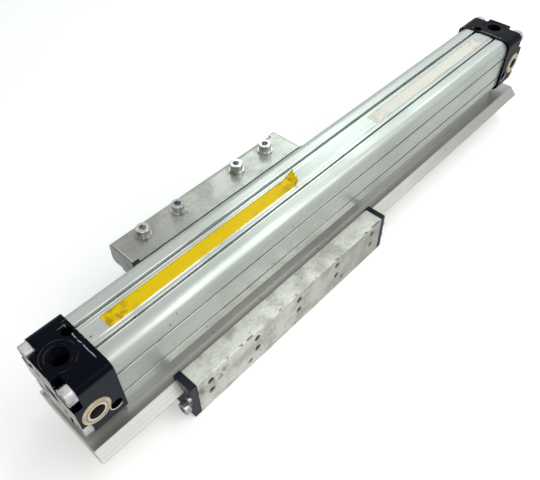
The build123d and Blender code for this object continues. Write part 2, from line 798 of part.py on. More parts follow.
def far_band_shoe():
    """Shoe on the driver that presses the outer band back into its recess."""
    x1 = driver_length / 2 - shoe_inset
    x0 = x1 - shoe_length
    half_y = band_width / 2 - slot_clear / 2
    high = barrel_z0 + outer_recess
    part = block(x0, x1, -half_y, half_y, driver_top, high)
    drop = -band_t / 2 - shoe_clear
    wave = band_wave(outer_band_z, outer_band_z - outer_band_drop, drop)
    flat_start = yoke_hump + band_ramp
    under = outer_band_z + drop
    above = outer_band_z + 2 * outer_band_drop
    face = make_face([*wave, Line((flat_start, 0, under), (driver_length, 0, under)),
                      Line((driver_length, 0, under), (driver_length, 0, above)),
                      Line((driver_length, 0, above), (0, 0, above)),
                      Line((0, 0, above), (0, 0, under - outer_band_drop))])
    return part - extrude(face, amount=band_width, dir=(0, 1, 0), both=True)


def carriage_section():
    """U-shaped section with a plate, two legs and a cavity for the slide elements in each leg."""
    w = carriage_half_width
    section = rect(-w, w, 0, plate_t) + rect(leg_inner_y, w, plate_t - 1, leg_z1)
    section += rect(-w, -leg_inner_y, plate_t - 1, leg_z1)
    section -= rect(leg_inner_y - 1, left_cavity_y, plate_t, cavity_z1)
    section -= rect(-right_cavity_y, -leg_inner_y + 1, plate_t, cavity_z1)
    corners = [v for v in section.vertices() if abs(abs(v.X) - w) < 0.01]
    return chamfer(corners, length=leg_chamfer)


def set_screw_places():
    """X and Z of the adjusting screws in the right leg."""
    reach = carriage_length / 2 - set_screw_margin
    rows = [-reach + i * 2 * reach / (set_screw_rows - 1) for i in range(set_screw_rows)]
    middle_z = rail_mid_z - set_screw_drop
    return [(x, middle_z + s * set_screw_half_gap) for x in rows for s in (-1, 1)]


def carriage_body():
    """Carriage with its adjusting holes, load-mounting holes and the tapped holes of what is fixed to it."""
    half = carriage_length / 2
    w = carriage_half_width
    part = along_x(carriage_section(), -half, half)
    for x, z in set_screw_places():
        part -= rod((x, -w - 1, z), (x, -right_cavity_y + 1, z), set_screw_r + tapped_clear)
    for x in (-grease_hole_x, grease_hole_x):
        part -= rod((x, -w - 1, grease_hole_z), (x, -w + grease_hole_depth, grease_hole_z), grease_hole_r)
    for x in (load_hole_near_x, half - load_hole_margin):
        for sx in (-1, 1):
            for sy in (-1, 1):
                y = sy * load_hole_y
                part -= rod((sx * x, y, 0), (sx * x, y, load_hole_depth), load_hole_r)
    for x, y in driver_screw_places():
        part -= rod((x, y, -1), (x, y, driver_screw_sink), driver_screw_head_r + through_clear)
        part -= rod((x, y, 0), (x, y, plate_t), driver_screw_r + through_clear)
    for x, y in riser_screw_places():
        part -= rod((x, y, leg_z1 - riser_screw_grip - 1), (x, y, leg_z1), riser_screw_r + tapped_clear)
    for end in (-1, 1):
        for y, z, r, length in wiper_screw_table():
            reach = length - wiper_t + 1
            part -= rod((end * half, y, z), (end * (half - reach), y, z), r + tapped_clear)
    return part


def left_slide_element():
    """Plastic slide strip that runs on the rail's V edge."""
    section = rect(element_nose_y, element_outer_y, plate_t + edge_clear, cavity_z1 - edge_clear)
    section -= rail_edge(running_clear, 0)
    half = carriage_length / 2 - edge_clear
    return along_x(section, -half, half)


def pressure_bar():
    """Steel bar that spreads the adjusting screws' force over the right slide strip."""
    half = carriage_length / 2 - bar_end_gap
    return block(-half, half, -element_outer_y - bar_t, -element_outer_y, plate_t + bar_side_gap,
                 cavity_z1 - bar_side_gap)


def adjusting_screws():
    """Five pairs of set screws in the right leg."""
    y = -element_outer_y - bar_t - set_screw_length
    return [grub_screw((x, y, z), (0, -1, 0), set_screw_r, set_screw_length, set_screw_key)
            for x, z in set_screw_places()]


def wiper_screw_table():
    """Y, Z, radius and length of the screws in one wiper plate."""
    table = []
    for side in (-1, 1):
        table.append((side * wiper_screw_y, wiper_screw_z, wiper_screw_r, wiper_screw_length))
        table.append((side * trim_screw_y, trim_screw_z, trim_screw_r, trim_screw_length))
    return table


def near_wiper_plate():
    """Plastic end plate that scrapes the rail, with tongues over the rail's top and pockets for the felts."""
    x1 = -carriage_length / 2
    x0 = x1 - wiper_t
    w = carriage_half_width - wiper_inset
    section = rect(-w, w, wiper_inset, leg_z1 - wiper_inset)
    section -= rect(-wiper_tongue_y, wiper_tongue_y, rail_z0 - wiper_gap, leg_z1)
    edge = rail_edge(wiper_gap, 0)
    section -= edge + mirror(edge, about=Plane.YZ)
    part = along_x(section, x0, x1)
    felt = rail_edge(felt_depth, felt_root_y)
    part -= along_x(felt + mirror(felt, about=Plane.YZ), x1 - felt_t, x1)
    for y, z, r, length in wiper_screw_table():
        part -= rod((x0, y, z), (x1, y, z), r + through_clear)
    return part


def near_felt_wipers():
    """Oiled felts that lie round both V edges behind the wiper plate."""
    x1 = -carriage_length / 2
    x0 = x1 - felt_t
    shape = rail_edge(felt_depth - running_clear, felt_root_y + running_clear) - rail_edge(running_clear, 0)
    left = along_x(shape, x0, x1)
    return [left, to_right(left)]


def near_wiper_screws():
    """Two large and two small screws of the near wiper plate."""
    x = -carriage_length / 2 - wiper_t
    screws = []
    for y, z, r, length in wiper_screw_table():
        large = r == wiper_screw_r
        head_r = wiper_screw_head_r if large else trim_screw_head_r
        head_h = wiper_screw_head_h if large else trim_screw_head_h
        screws.append(cap_screw((x, y, z), (-1, 0, 0), r, length, head_r, head_h, head_r * 0.9))
    return screws


def riser_screw_places():
    """X and Y of the screws that hold the riser on the left leg."""
    return [(sx * x, riser_screw_y) for x in riser_screw_x for sx in (-1, 1)]


def top_screw_places():
    """X and Y of the four screws in the top plate."""
    return [(sx * x, top_screw_y) for x in top_screw_x for sx in (-1, 1)]


def riser_bracket():
    """Angle that stands on the left leg and carries the two plates beside the barrel."""
    half = riser_length / 2
    section = rect(riser_inner_y, carriage_half_width - leg_chamfer, leg_z1, spacer_z0)
    section += rect(riser_inner_y, riser_outer_y, spacer_z0 - riser_flange_t, spacer_z0)
    web_y = carriage_half_width - leg_chamfer
    inner = [v for v in section.vertices() if abs(v.X - web_y) < 0.01 and v.Y > leg_z1 + 1]
    section = fillet(inner, radius=3.0)
    part = along_x(section, -half, half)
    seat_z = riser_screw_seat()
    for x, y in riser_screw_places():
        part -= rod((x, y, leg_z1), (x, y, spacer_z0), riser_screw_r + through_clear)
        part -= rod((x, y, seat_z), (x, y, spacer_z0), riser_screw_head_r + through_clear)
    for x, y in top_screw_places():
        part -= rod((x, y, spacer_z0 - riser_flange_t), (x, y, spacer_z0), top_screw_r + tapped_clear)
    return part


def riser_screw_seat():
    """Height of the riser screws' seats, just below the riser's top."""
    return spacer_z0 - riser_screw_head_h - edge_clear


def riser_screws():
    """Four screws through the riser into the left leg."""
    seat_z = riser_screw_seat()
    length = seat_z - leg_z1 + riser_screw_grip
    sizes = (riser_screw_r, length, riser_screw_head_r, riser_screw_head_h, riser_screw_head_h * 0.75)
    return [cap_screw((x, y, seat_z), (0, 0, 1), *sizes) for x, y in riser_screw_places()]


def spacer_plate():
    """Second plate, a little wider than the top plate, with a bevelled lower outer edge."""
    half = top_plate_length / 2
    section = rect(spacer_inner_y, spacer_outer_y, spacer_z0, top_plate_z0)
    corner = [v for v in section.vertices() if v.X > spacer_outer_y - 1 and v.Y < spacer_z0 + 1]
    section = chamfer(corner, length=spacer_chamfer)
    part = along_x(section, -half, half - spacer_short)
    for x, y in top_screw_places():
        part -= rod((x, y, spacer_z0), (x, y, top_plate_z0), top_screw_r + through_clear)
    return part


def top_plate():
    """Top plate with a bevel along its outer edge and a notch for the guard strip's clip."""
    half = top_plate_length / 2
    part = block(-half, half, top_plate_inner_y, top_plate_outer_y, top_plate_z0, top_plate_z1)
    low = top_plate_z1 - bevel_drop
    bevel = polygon((top_plate_outer_y - bevel_width, top_plate_z1), (top_plate_outer_y + 1, top_plate_z1),
                    (top_plate_outer_y + 1, low), (top_plate_outer_y, low))
    part -= along_x(bevel, -half - 1, half - spacer_short)
    part -= notch(0)
    for x, y in top_screw_places():
        part -= rod((x, y, top_plate_z0), (x, y, top_plate_z1), top_screw_r + through_clear)
    return part


def notch(shrink):
    """Room in the top plate's inner corner for the guard strip's clip."""
    x0 = -top_plate_length / 2
    x1 = x0 + notch_length - shrink
    y0 = top_plate_inner_y
    return block(x0 - 1, x1, y0 - 1, y0 + notch_depth - shrink, top_plate_z0, top_plate_z1)


def guard_strip():
    """Thin black strip on the plate's inner edge, facing the barrel, with a clip in the notch."""
    half = top_plate_length / 2
    z1 = top_plate_z1 - strip_drop / 2
    y1 = top_plate_inner_y
    part = block(-half, half + strip_end_out, y1 - strip_t, y1, z1 - strip_h, z1)
    clip = notch(0.1) & block(-half, half, top_plate_inner_y, top_plate_outer_y, top_plate_z0 + 1, z1)
    return part + clip


def top_plate_screws():
    """Four socket-head screws that stand on the top plate's washers."""
    seat_z = top_plate_z1 + washer_t
    sizes = (top_screw_r, top_screw_length, top_screw_head_r, top_screw_head_h, top_screw_head_r)
    return [cap_screw((x, y, seat_z), (0, 0, 1), *sizes) for x, y in top_screw_places()]


def top_plate_washers():
    """Four washers between the top plate and its screws."""
    ring = extrude(Circle(washer_r) - Circle(top_screw_r + through_clear), amount=washer_t)
    return [Pos(x, y, top_plate_z1) * ring for x, y in top_screw_places()]


def as_group(solids):
    """Several separate solids under one node."""
    return Compound(children=[s.solid() if hasattr(s, "solid") else s for s in solids])


def both_ends(name, part, flip):
    """A near piece and its far twin, each a node of its own."""
    if isinstance(part, list):
        return {"near_" + name: part, "far_" + name: [flip(p) for p in part]}
    return {"near_" + name: part, "far_" + name: flip(part)}


def build_nodes():
    """Every sub-part by the name of its node."""
    nodes = {"barrel": barrel(), "inner_sealing_band": inner_band(), "outer_sealing_band": outer_band()}
    for name, part in (("end_cap", near_cap()), ("cap_screws", near_cap_screws()),
                       ("cap_seal", near_cap_seal()), ("cushion_tube", near_cushion_tube()),
                       ("cushion_screw", near_cushion_screw()),
                       ("port_bush", near_port_bush()), ("port_plugs", near_port_plugs()),
                       ("band_clamp", near_band_clamp()), ("band_clamp_screws", near_band_clamp_screws())):
        nodes.update(both_ends(name, part, to_far))
    nodes["left_guide_rail"] = left_rail()
    nodes["right_guide_rail"] = to_right(left_rail())
    nodes["near_rail_bridge"] = rail_bridge(rail_x0, 1)
    nodes["far_rail_bridge"] = rail_bridge(rail_x1, -1)
    nodes["rail_lock_screws"] = left_rail_lock_screws() + [to_right(s) for s in left_rail_lock_screws()]
    nodes["piston_yoke"] = piston_yoke()
    nodes["piston_magnet"] = piston_magnet()
    for name, part in (("piston_head", far_piston_head()), ("piston_seal", far_piston_seal()),
                       ("wear_ring", far_wear_ring()), ("cushion_seal", far_cushion_seal()),
                       ("piston_head_screw", far_head_screw()), ("band_shoe", far_band_shoe())):
        nodes.update(both_ends(name, to_other_end(part), to_other_end))
    nodes["driver_block"] = driver_block()
    nodes["driver_screws"] = driver_screws()
    nodes["carriage_body"] = carriage_body()
    nodes["left_slide_element"] = left_slide_element()
    nodes["right_slide_element"] = to_right(left_slide_element())
    nodes["pressure_bar"] = pressure_bar()
    nodes["adjusting_screws"] = adjusting_screws()
    for name, part in (("wiper_plate", near_wiper_plate()), ("felt_wipers", near_felt_wipers()),
                       ("wiper_screws", near_wiper_screws())):
        nodes.update(both_ends(name, part, to_other_end))
    nodes["riser_bracket"] = riser_bracket()
    nodes["riser_screws"] = riser_screws()
    nodes["spacer_plate"] = spacer_plate()
    nodes["top_plate"] = top_plate()
    nodes["top_plate_screws"] = top_plate_screws()
    nodes["top_plate_washers"] = top_plate_washers()
    nodes["guard_strip"] = guard_strip()
    return nodes


os.makedirs("parts", exist_ok=True)
for node, shape in build_nodes().items():
    export_step(as_group(shape) if isinstance(shape, list) else shape, f"parts/{node}.step")
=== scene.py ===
"""Looks of a rodless pneumatic cylinder that stands on its carriage: finishes, threads and bare strips."""

from __future__ import annotations

import logging
import math
from dataclasses import dataclass
from enum import Enum
from typing import Protocol

import bmesh
import bpy
from bpy.types import Material, Node, NodeSocket, NodeTree, Object
from mathutils import Matrix, Vector

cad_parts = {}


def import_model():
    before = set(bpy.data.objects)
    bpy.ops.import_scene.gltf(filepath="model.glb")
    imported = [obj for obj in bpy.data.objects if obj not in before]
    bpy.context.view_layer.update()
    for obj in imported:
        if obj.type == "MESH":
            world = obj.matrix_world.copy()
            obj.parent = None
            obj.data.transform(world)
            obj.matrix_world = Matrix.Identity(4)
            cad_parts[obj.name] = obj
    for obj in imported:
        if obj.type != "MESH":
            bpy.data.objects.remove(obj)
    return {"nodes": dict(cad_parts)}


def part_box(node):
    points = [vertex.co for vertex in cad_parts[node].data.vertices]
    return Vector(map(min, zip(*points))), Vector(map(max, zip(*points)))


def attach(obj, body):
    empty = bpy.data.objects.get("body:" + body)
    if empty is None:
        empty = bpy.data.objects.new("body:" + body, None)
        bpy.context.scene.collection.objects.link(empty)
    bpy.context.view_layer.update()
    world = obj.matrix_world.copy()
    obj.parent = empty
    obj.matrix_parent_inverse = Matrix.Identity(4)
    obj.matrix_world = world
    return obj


MM = 0.001
LOG = logging.getLogger("rodless_cylinder")
Colour = tuple[float, float, float]
Point = tuple[float, float, float]

# Sizes that the finishes and the threads share
PORT_AT = 12.9 * MM
BUSH_BORE_R = 5.2 * MM


class Body(Enum):
    """The rigid bodies that new pieces ride on."""

    CYLINDER = "cylinder"
    CARRIAGE = "carriage"


class Slot(Enum):
    """The record's material slot names, listed beside the new pieces but not given to them."""

    PROFILE = "anodised_profile"
    CAP = "black_cap"
    DARK = "dark_steel"
    RAIL = "rail_aluminium"
    MILLED = "milled_aluminium"


class End(Enum):
    """The cylinder's ends: the start of their pieces' names, and the way inwards along X."""

    NEAR = ("near_", 1.0)
    FAR = ("far_", -1.0)

    def __init__(self, prefix: str, inward: float) -> None:
        """Name the two halves of the value."""
        self.prefix = prefix
        self.inward = inward

    def outer_x(self, node: str) -> float:
        """X of a node's side that faces outwards at this end."""
        low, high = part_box(node)
        return low.x if self.inward > 0.0 else high.x


def both(*names: str) -> list[str]:
    """Near and far names."""
    return [end.prefix + name for end in End for name in names]


def centre(node: str) -> Point:
    """Middle of a node's box."""
    low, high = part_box(node)
    return tuple((a + b) / 2 for a, b in zip(low, high))


# Node trees


class Value:
    """A number socket with arithmetic, so that shader maths reads as an expression."""

    def __init__(self, paint: Paint, socket: NodeSocket) -> None:
        """Wrap a socket of the given paint."""
        self.paint = paint
        self.socket = socket

    def _maths(self, operation: str, *others: Value | float) -> Value:
        """Add a Math node.

        Args:
            operation: the node's operation.
            others: its further inputs.

        Returns:
            The result.
        """
        return self.paint.value("ShaderNodeMath", dict(enumerate((self, *others))), operation=operation)

    def __add__(self, other: Value | float) -> Value:
        """Sum."""
        return self._maths("ADD", other)

    def __sub__(self, other: Value | float) -> Value:
        """Difference."""
        return self._maths("SUBTRACT", other)

    def __mul__(self, other: Value | float) -> Value:
        """Product."""
        return self._maths("MULTIPLY", other)

    def __rsub__(self, other: float) -> Value:
        """Difference from a plain number."""
        return (self * -1.0) + other

    __radd__ = __add__
    __rmul__ = __mul__

    def over(self, limit: float) -> Value:
        """1 where the value is above the limit."""
        return self._maths("GREATER_THAN", limit)

    def size(self) -> Value:
        """The value without its sign."""
        return self._maths("ABSOLUTE")

    def root(self) -> Value:
        """Square root."""
        return self._maths("SQRT")

    def highest(self, other: Value | float) -> Value:
        """The larger of two values."""
        return self._maths("MAXIMUM", other)

    def lowest(self, other: Value | float) -> Value:
        """The smaller of two values."""
        return self._maths("MINIMUM", other)

    def span(self, low: float, high: float) -> Value:
        """0 at low, 1 at high, smooth between and held outside.

        Args:
            low: where the result is 0.
            high: where the result is 1; it may be the smaller of the two.

        Returns:
            The result.
        """
        inputs = {"Value": self, "From Min": low, "From Max": high}
        return self.paint.value("ShaderNodeMapRange", inputs, interpolation_type="SMOOTHSTEP")

    def band(self, middle: float, half: float, soft: float) -> Value:
        """1 within a band about the middle.

        Args:
            middle: the band's centre.
            half: its half width.
            soft: width over which it fades outside.

        Returns:
            The mask.
        """
        return (self - middle).size().span(half + soft, half)


class Tree:
    """A node tree, to which one call adds a node with its settings and inputs."""

    def __init__(self, tree: NodeTree) -> None:
        """Take a tree and empty it."""
        self.tree = tree
        self.tree.nodes.clear()

    def make(self, kind: str, inputs: dict | None = None, **settings: object) -> Node:
        """Add a node.

        Args:
            kind: the node's type.
            inputs: values or links by the socket's name or number.
            settings: its own settings, which are set first.

        Returns:
            The node.
        """
        node = self.tree.nodes.new(kind)
        for key, value in settings.items():
            setattr(node, key, value)
        for key, value in (inputs or {}).items():
            if isinstance(value, Value):
                value = value.socket
            if isinstance(value, NodeSocket):
                self.tree.links.new(value, node.inputs[key])
            else:
                node.inputs[key].default_value = value
        return node


class Paint(Tree):
    """One material's node tree, from texture to surface."""

    def __init__(self, name: str) -> None:
        """Start an empty material.

        Args:
            name: the material's name.
        """
        self.material = bpy.data.materials.new(name)
        self.material.use_nodes = True
        super().__init__(self.material.node_tree)
        self.place = self.make("ShaderNodeTexCoord").outputs["Object"]
        parts = self.make("ShaderNodeSeparateXYZ", {"Vector": self.place})
        self.x, self.y, self.z = (Value(self, parts.outputs[i]) for i in range(3))

    def value(self, kind: str, inputs: dict, **settings: object) -> Value:
        """Add a node and wrap its first output."""
        return Value(self, self.make(kind, inputs, **settings).outputs[0])

    def noise(self, grain: float, detail: float = 3.0, scale: Point = (1.0, 1.0, 1.0),
              turn: Point = (0.0, 0.0, 0.0)) -> Value:
        """Noise over the surface.

        Args:
            grain: spots per metre.
            detail: how many finer layers it has.
            scale: stretch per axis.
            turn: turn of the pattern, in radians.

        Returns:
            A value about 0.5.
        """
        mapping = self.make("ShaderNodeMapping", {"Vector": self.place, "Scale": scale, "Rotation": turn})
        inputs = {"Vector": mapping.outputs[0], "Scale": grain, "Detail": detail}
        return self.value("ShaderNodeTexNoise", inputs)

    def specks(self, grain: float, radius: float, share: float) -> Value:
        """Small round spots in random places.

        Args:
            grain: cells per metre.
            radius: a spot's radius as a share of its cell.
            share: share of the cells that hold a spot.

        Returns:
            1 on a spot.
        """
        cells = self.make("ShaderNodeTexVoronoi", {"Vector": self.place, "Scale": grain})
        pick = self.value("ShaderNodeSeparateColor", {"Color": cells.outputs["Color"]})
        near = Value(self, cells.outputs["Distance"]).span(radius, radius * 0.5)
        return near * pick.over(1.0 - share)

    def scratches(self, turn: float, amount: float) -> Value:
        """Thin straight scratches, all nearly one way.

        Args:
            turn: their direction in the XY plane, in degrees from X.
            amount: share of the surface that they cover.

        Returns:
            1 on a scratch.
        """
        streak = self.noise(60.0, 1.0, (0.25, 14.0, 14.0), (0.3, 0.2, math.radians(turn)))
        broken = self.noise(25.0, 2.0).span(0.5, 0.62)
        return streak.span(0.76 - amount, 0.79 - amount) * broken

    def away(self, first: Value, second: Value) -> Value:
        """Distance from the place where both values are 0."""
        return (first * first + second * second).root()

    def mix(self, factor: Value | float, first: Colour | NodeSocket,
            second: Colour | NodeSocket) -> NodeSocket:
        """Mix two colours.

        Args:
            factor: 0 for the first, 1 for the second.
            first: a colour or a link.
            second: a colour or a link.

        Returns:
            The mixed colour.
        """
        first, second = ((*c, 1.0) if isinstance(c, tuple) else c for c in (first, second))
        return self.make("ShaderNodeMix", {0: factor, 6: first, 7: second}, data_type="RGBA").outputs[2]

    def relief(self, height: Value, depth_mm: float, edge_mm: float = 0.0) -> NodeSocket:
        """Bump, on rounded edges where a radius is given.

        Args:
            height: height over the surface, 0 to 1.
            depth_mm: height of a full step.
            edge_mm: radius that sharp edges seem to have.

        Returns:
            The normal.
        """
        inputs = {"Height": height, "Distance": depth_mm * MM, "Strength": 1.0}
        if edge_mm:
            inputs["Normal"] = self.make("ShaderNodeBevel", {"Radius": edge_mm * MM}, samples=4).outputs[0]
        return self.make("ShaderNodeBump", inputs).outputs[0]

    def surface(self, **inputs: object) -> Material:
        """Finish the material with a Principled shader.

        Args:
            inputs: its sockets, with an underscore for each space.

        Returns:
            The material.
        """
        named = {key.replace("_", " "): value for key, value in inputs.items()}
        shader = self.make("ShaderNodeBsdfPrincipled", named)
        self.make("ShaderNodeOutputMaterial", {"Surface": shader.outputs[0]})
        return self.material


# Finishes


class Finish(Protocol):
    """What every finish can do."""

    def material(self) -> Material:
        """Build the material."""


@dataclass(frozen=True)
class Anodised:
    """Drawn and anodised aluminium with lengthwise lines, smudges and a few dark specks."""

    name: str
    pale: Colour = (0.485, 0.52, 0.495)
    shade: Colour = (0.38, 0.405, 0.38)
    roughness: float = 0.29
    metallic: float = 0.6
    # Painted shade: above this height the rail's top is darkened, standing in for the shade under the barrel
    # and the leg.
    painted_shade_z: float = 0.0
    top_z: float = 0.0
    flank_y: float = 0.0
    # Painted shade: darker towards the far end between these two places.
    far_shade_from_x: float = 0.0
    far_shade_to_x: float = 0.0
    # The painted shade on the rail's top grows outwards between these two distances from the middle.
    painted_shade_from_y: float = 21.5 * MM
    painted_shade_to_y: float = 27.5 * MM
    grime_to_z: float = 55.0 * MM
    top_lines: tuple[float, ...] = (5.95 * MM, 8.95 * MM, 11.9 * MM)
    flank_lines: tuple[float, ...] = (9.25 * MM, -11.45 * MM)
    line_half: float = 0.30 * MM
    line_soft: float = 0.12 * MM
    lip_depth: float = 2.2 * MM
    # The painted highlights beside the grooves grow from here towards the near end.
    highlight_from_x: float = 130.0 * MM
    highlight_to_x: float = 40.0 * MM
    speck: Colour = (0.08, 0.08, 0.07)
    grime: Colour = (0.24, 0.225, 0.185)
    # Colour of the painted highlights beside the grooves.
    rubbed_and_highlight: Colour = (0.95, 0.96, 0.94)
    scratched: Colour = (0.80, 0.82, 0.80)

    def material(self) -> Material:
        """Build the material.

        Returns:
            The material.
        """
        paint = Paint(self.name)
        lines = paint.noise(1.0, 2.0, (3.0, 520.0, 520.0))
        smudge = paint.noise(22.0, 4.0, (0.6, 1.0, 1.0))
        speck = paint.specks(150.0, 0.16, 0.10)
        scratch = paint.scratches(12.0, 0.02)
        tone = lines.span(0.3, 0.7) * 0.35 + smudge.span(0.35, 0.75) * 0.65
        colour = paint.mix(tone, self.pale, self.shade)
        # Painted shade on the rail's top and feet, darker outwards.
        if self.painted_shade_z:
            outward = paint.y.size().span(self.painted_shade_from_y, self.painted_shade_to_y)
            rail_top_shade = paint.z.over(self.painted_shade_z) * (outward * 0.5 + 0.4)
            colour = paint.mix(rail_top_shade, colour, tuple(c * 0.38 for c in self.shade))
        colour = paint.mix(speck * 0.8, colour, self.speck)
        # Painted shade: darker towards the far end.
        if self.far_shade_to_x:
            far_shade = paint.x.span(self.far_shade_from_x, self.far_shade_to_x)
            colour = paint.mix(far_shade * 0.7, colour, tuple(c * 0.55 for c in self.shade))
        if self.top_z:
            patch = paint.noise(34.0, 5.0, (0.45, 1.0, 1.0)).span(0.50, 0.72)
            grime = patch * paint.z.span(self.top_z, self.grime_to_z)
            colour = paint.mix(grime * 0.42, colour, self.grime)
            # Painted highlights beside the grooves.
            colour = paint.mix(self._groove_highlights(paint), colour, self.rubbed_and_highlight)
        colour = paint.mix(scratch * 0.5, colour, self.scratched)
        rough = smudge.span(0.35, 0.7) * 0.12 + lines * 0.08 + (self.roughness - 0.06)
        return paint.surface(Base_Color=colour, Metallic=self.metallic, Roughness=rough,
                             Normal=paint.relief(lines, 0.010, 0.15))

    def _groove_highlights(self, paint: Paint) -> Value:
        """Painted highlights: thin bright lines beside the grooves, standing in for light on their edges,
        more so towards the near end.

        Args:
            paint: the material.

        Returns:
            1 on a line.
        """
        on_top = paint.z.over(self.top_z - self.lip_depth)
        on_flank = paint.y.size().over(self.flank_y - self.lip_depth)
        width = (self.line_half, self.line_soft)
        height = paint.z - (self.top_z - self.flank_y)
        top = sum(paint.y.size().band(at, *width) for at in self.top_lines)
        side = sum(height.band(at, *width) for at in self.flank_lines)
        broken = paint.noise(30.0, 3.0, (1.0, 0.2, 0.2)).span(0.30, 0.60)
        near = paint.x.span(self.highlight_from_x, self.highlight_to_x) * 0.75 + 0.25
        return (top * on_top + side * on_flank * 0.9) * broken * near


@dataclass(frozen=True)
class PaintedCap:
    """Navy-black lacquer, worn through at its edges, with matt flanks painted lighter grey as a painted
    reflection, and a bare machined outer face.
    """

    name: str
    face_x: float
    rear_x: float
    inward: float
    middle_z: float
    half_y: float = 27.4 * MM
    half_z: float = 26.0 * MM
    port_at: float = PORT_AT
    cushion_at: float = 24.3 * MM
    cushion_z: float = 57.7 * MM
    cushion_r: float = 4.2 * MM
    scrape_at: float = 5.0 * MM
    scrape_half_y: float = 18.0 * MM
    arc_radii: tuple[float, float] = (8.4 * MM, 11.2 * MM)
    scuff_at: float = 6.0 * MM
    scuff_y: float = 17.0 * MM
    lacquer: Colour = (0.0008, 0.0014, 0.0050)
    clouded: Colour = (0.0020, 0.0028, 0.0080)
    # Painted reflection: lighter grey on the flanks.
    flank_reflection: Colour = (0.024, 0.026, 0.034)
    worn: Colour = (0.42, 0.43, 0.44)
    # Colour of the bare chamfer by the cushion hole, partly a painted highlight.
    lip: Colour = (0.62, 0.60, 0.56)
    bare: Colour = (0.56, 0.54, 0.52)
    bare_shade: Colour = (0.34, 0.33, 0.32)

    def material(self) -> Material:
        """Build the material.

        Returns:
            The material.
        """
        paint = Paint(self.name)
        depth = (paint.x - self.face_x).size()
        from_rear = (paint.x - self.rear_x).size()
        top = (paint.z - self.middle_z).span(self.half_z - 0.8 * MM, self.half_z - 0.1 * MM)
        side = paint.y.size().span(self.half_y - 0.6 * MM, self.half_y - 0.1 * MM)
        bare = depth.span(0.10 * MM, 0.04 * MM)
        cloud = paint.noise(55.0, 3.0)
        colour = paint.mix(cloud.span(0.4, 0.7), self.lacquer, self.clouded)
        # Painted reflection: the flanks lighter grey.
        colour = paint.mix(side, colour, self.flank_reflection)
        wear = self._wear(paint, depth, from_rear, top, side)
        colour = paint.mix(wear, colour, self.worn)
        # Bare chamfer by the cushion hole, partly a painted highlight.
        colour = paint.mix(self._cushion_lip_highlight(paint) * side * 0.9, colour, self.lip)
        metal = paint.mix(paint.noise(90.0, 3.0).span(0.35, 0.65), self.bare, self.bare_shade)
        colour = paint.mix(bare, colour, metal)
        lay = paint.noise(1.0, 1.0, (1.0, 1500.0, 60.0))
        height = paint.noise(900.0, 2.0) * (1.0 - bare) + lay * bare
        rough = cloud * 0.10 + wear * 0.2 + side * 0.25 + bare * 0.12 + 0.14
        return paint.surface(Base_Color=colour, Metallic=bare * 0.8, Roughness=rough, Specular_IOR_Level=0.05,
                             Normal=paint.relief(height, 0.012, 0.35))

    def _cushion_lip_highlight(self, paint: Paint) -> Value:
        """Bare chamfer at the right-hand cushion hole, laid only on its lower inward side where it catches
        the light, so partly a painted highlight.

        Args:
            paint: the material.

        Returns:
            1 on the crescent.
        """
        across = (paint.x - (self.face_x + self.inward * self.cushion_at)) * self.inward
        up = paint.z - self.cushion_z
        ring = paint.away(across, up).band(self.cushion_r + 0.3 * MM, 0.35 * MM, 0.15 * MM)
        right_hand = paint.y.over(0.0).span(1.0, 0.0)
        return ring * right_hand * (across + up * 1.5).span(1.0 * MM, -3.0 * MM)

    def _wear(self, paint: Paint, depth: Value, from_rear: Value, top: Value, side: Value) -> Value:
        """Scrapes behind the port, arcs round it, and chips along the edges.

        Args:
            paint: the material.
            depth: distance from the outer face.
            from_rear: distance from the rear edge.
            top: 1 on the top face.
            side: 1 on the flanks.

        Returns:
            1 where the lacquer is rubbed through.
        """
        fine = paint.noise(520.0, 3.0)
        wobble = paint.noise(120.0, 2.0) * (3.0 * MM)
        inside = paint.y.size().span(self.scrape_half_y, self.scrape_half_y - 4.0 * MM)
        scrape = (from_rear + wobble).band(self.scrape_at, 0.14 * MM, 0.3 * MM)
        scrape = scrape * inside * fine.span(0.40, 0.52) * 0.85
        around = paint.away(paint.x - (self.face_x + self.inward * self.port_at), paint.y)
        inner, outer = self.arc_radii
        arc = around.band(inner, 0.10 * MM, 0.25 * MM).highest(around.band(outer, 0.08 * MM, 0.2 * MM))
        arc = arc * paint.noise(70.0, 2.0).span(0.52, 0.60) * 0.12
        scuff = paint.noise(60.0, 1.0, (1.0, 16.0, 1.0), (0.0, 0.0, 1.1)).span(0.66, 0.70)
        patch = paint.away(from_rear - self.scuff_at, paint.y - self.scuff_y).span(7.0 * MM, 3.0 * MM)
        chip = fine.span(0.58, 0.63) * paint.noise(75.0, 2.0).span(0.50, 0.58)
        rounding = (1.0 - top) * (1.0 - side) * (paint.z - self.middle_z).over(0.0)
        edge = depth.span(1.8 * MM, 0.3 * MM).highest(from_rear.span(0.5 * MM, 0.2 * MM)) * (rounding + top)
        return ((scrape + arc + scuff * patch * 0.5) * top + chip * edge.lowest(1.0)).lowest(0.9)


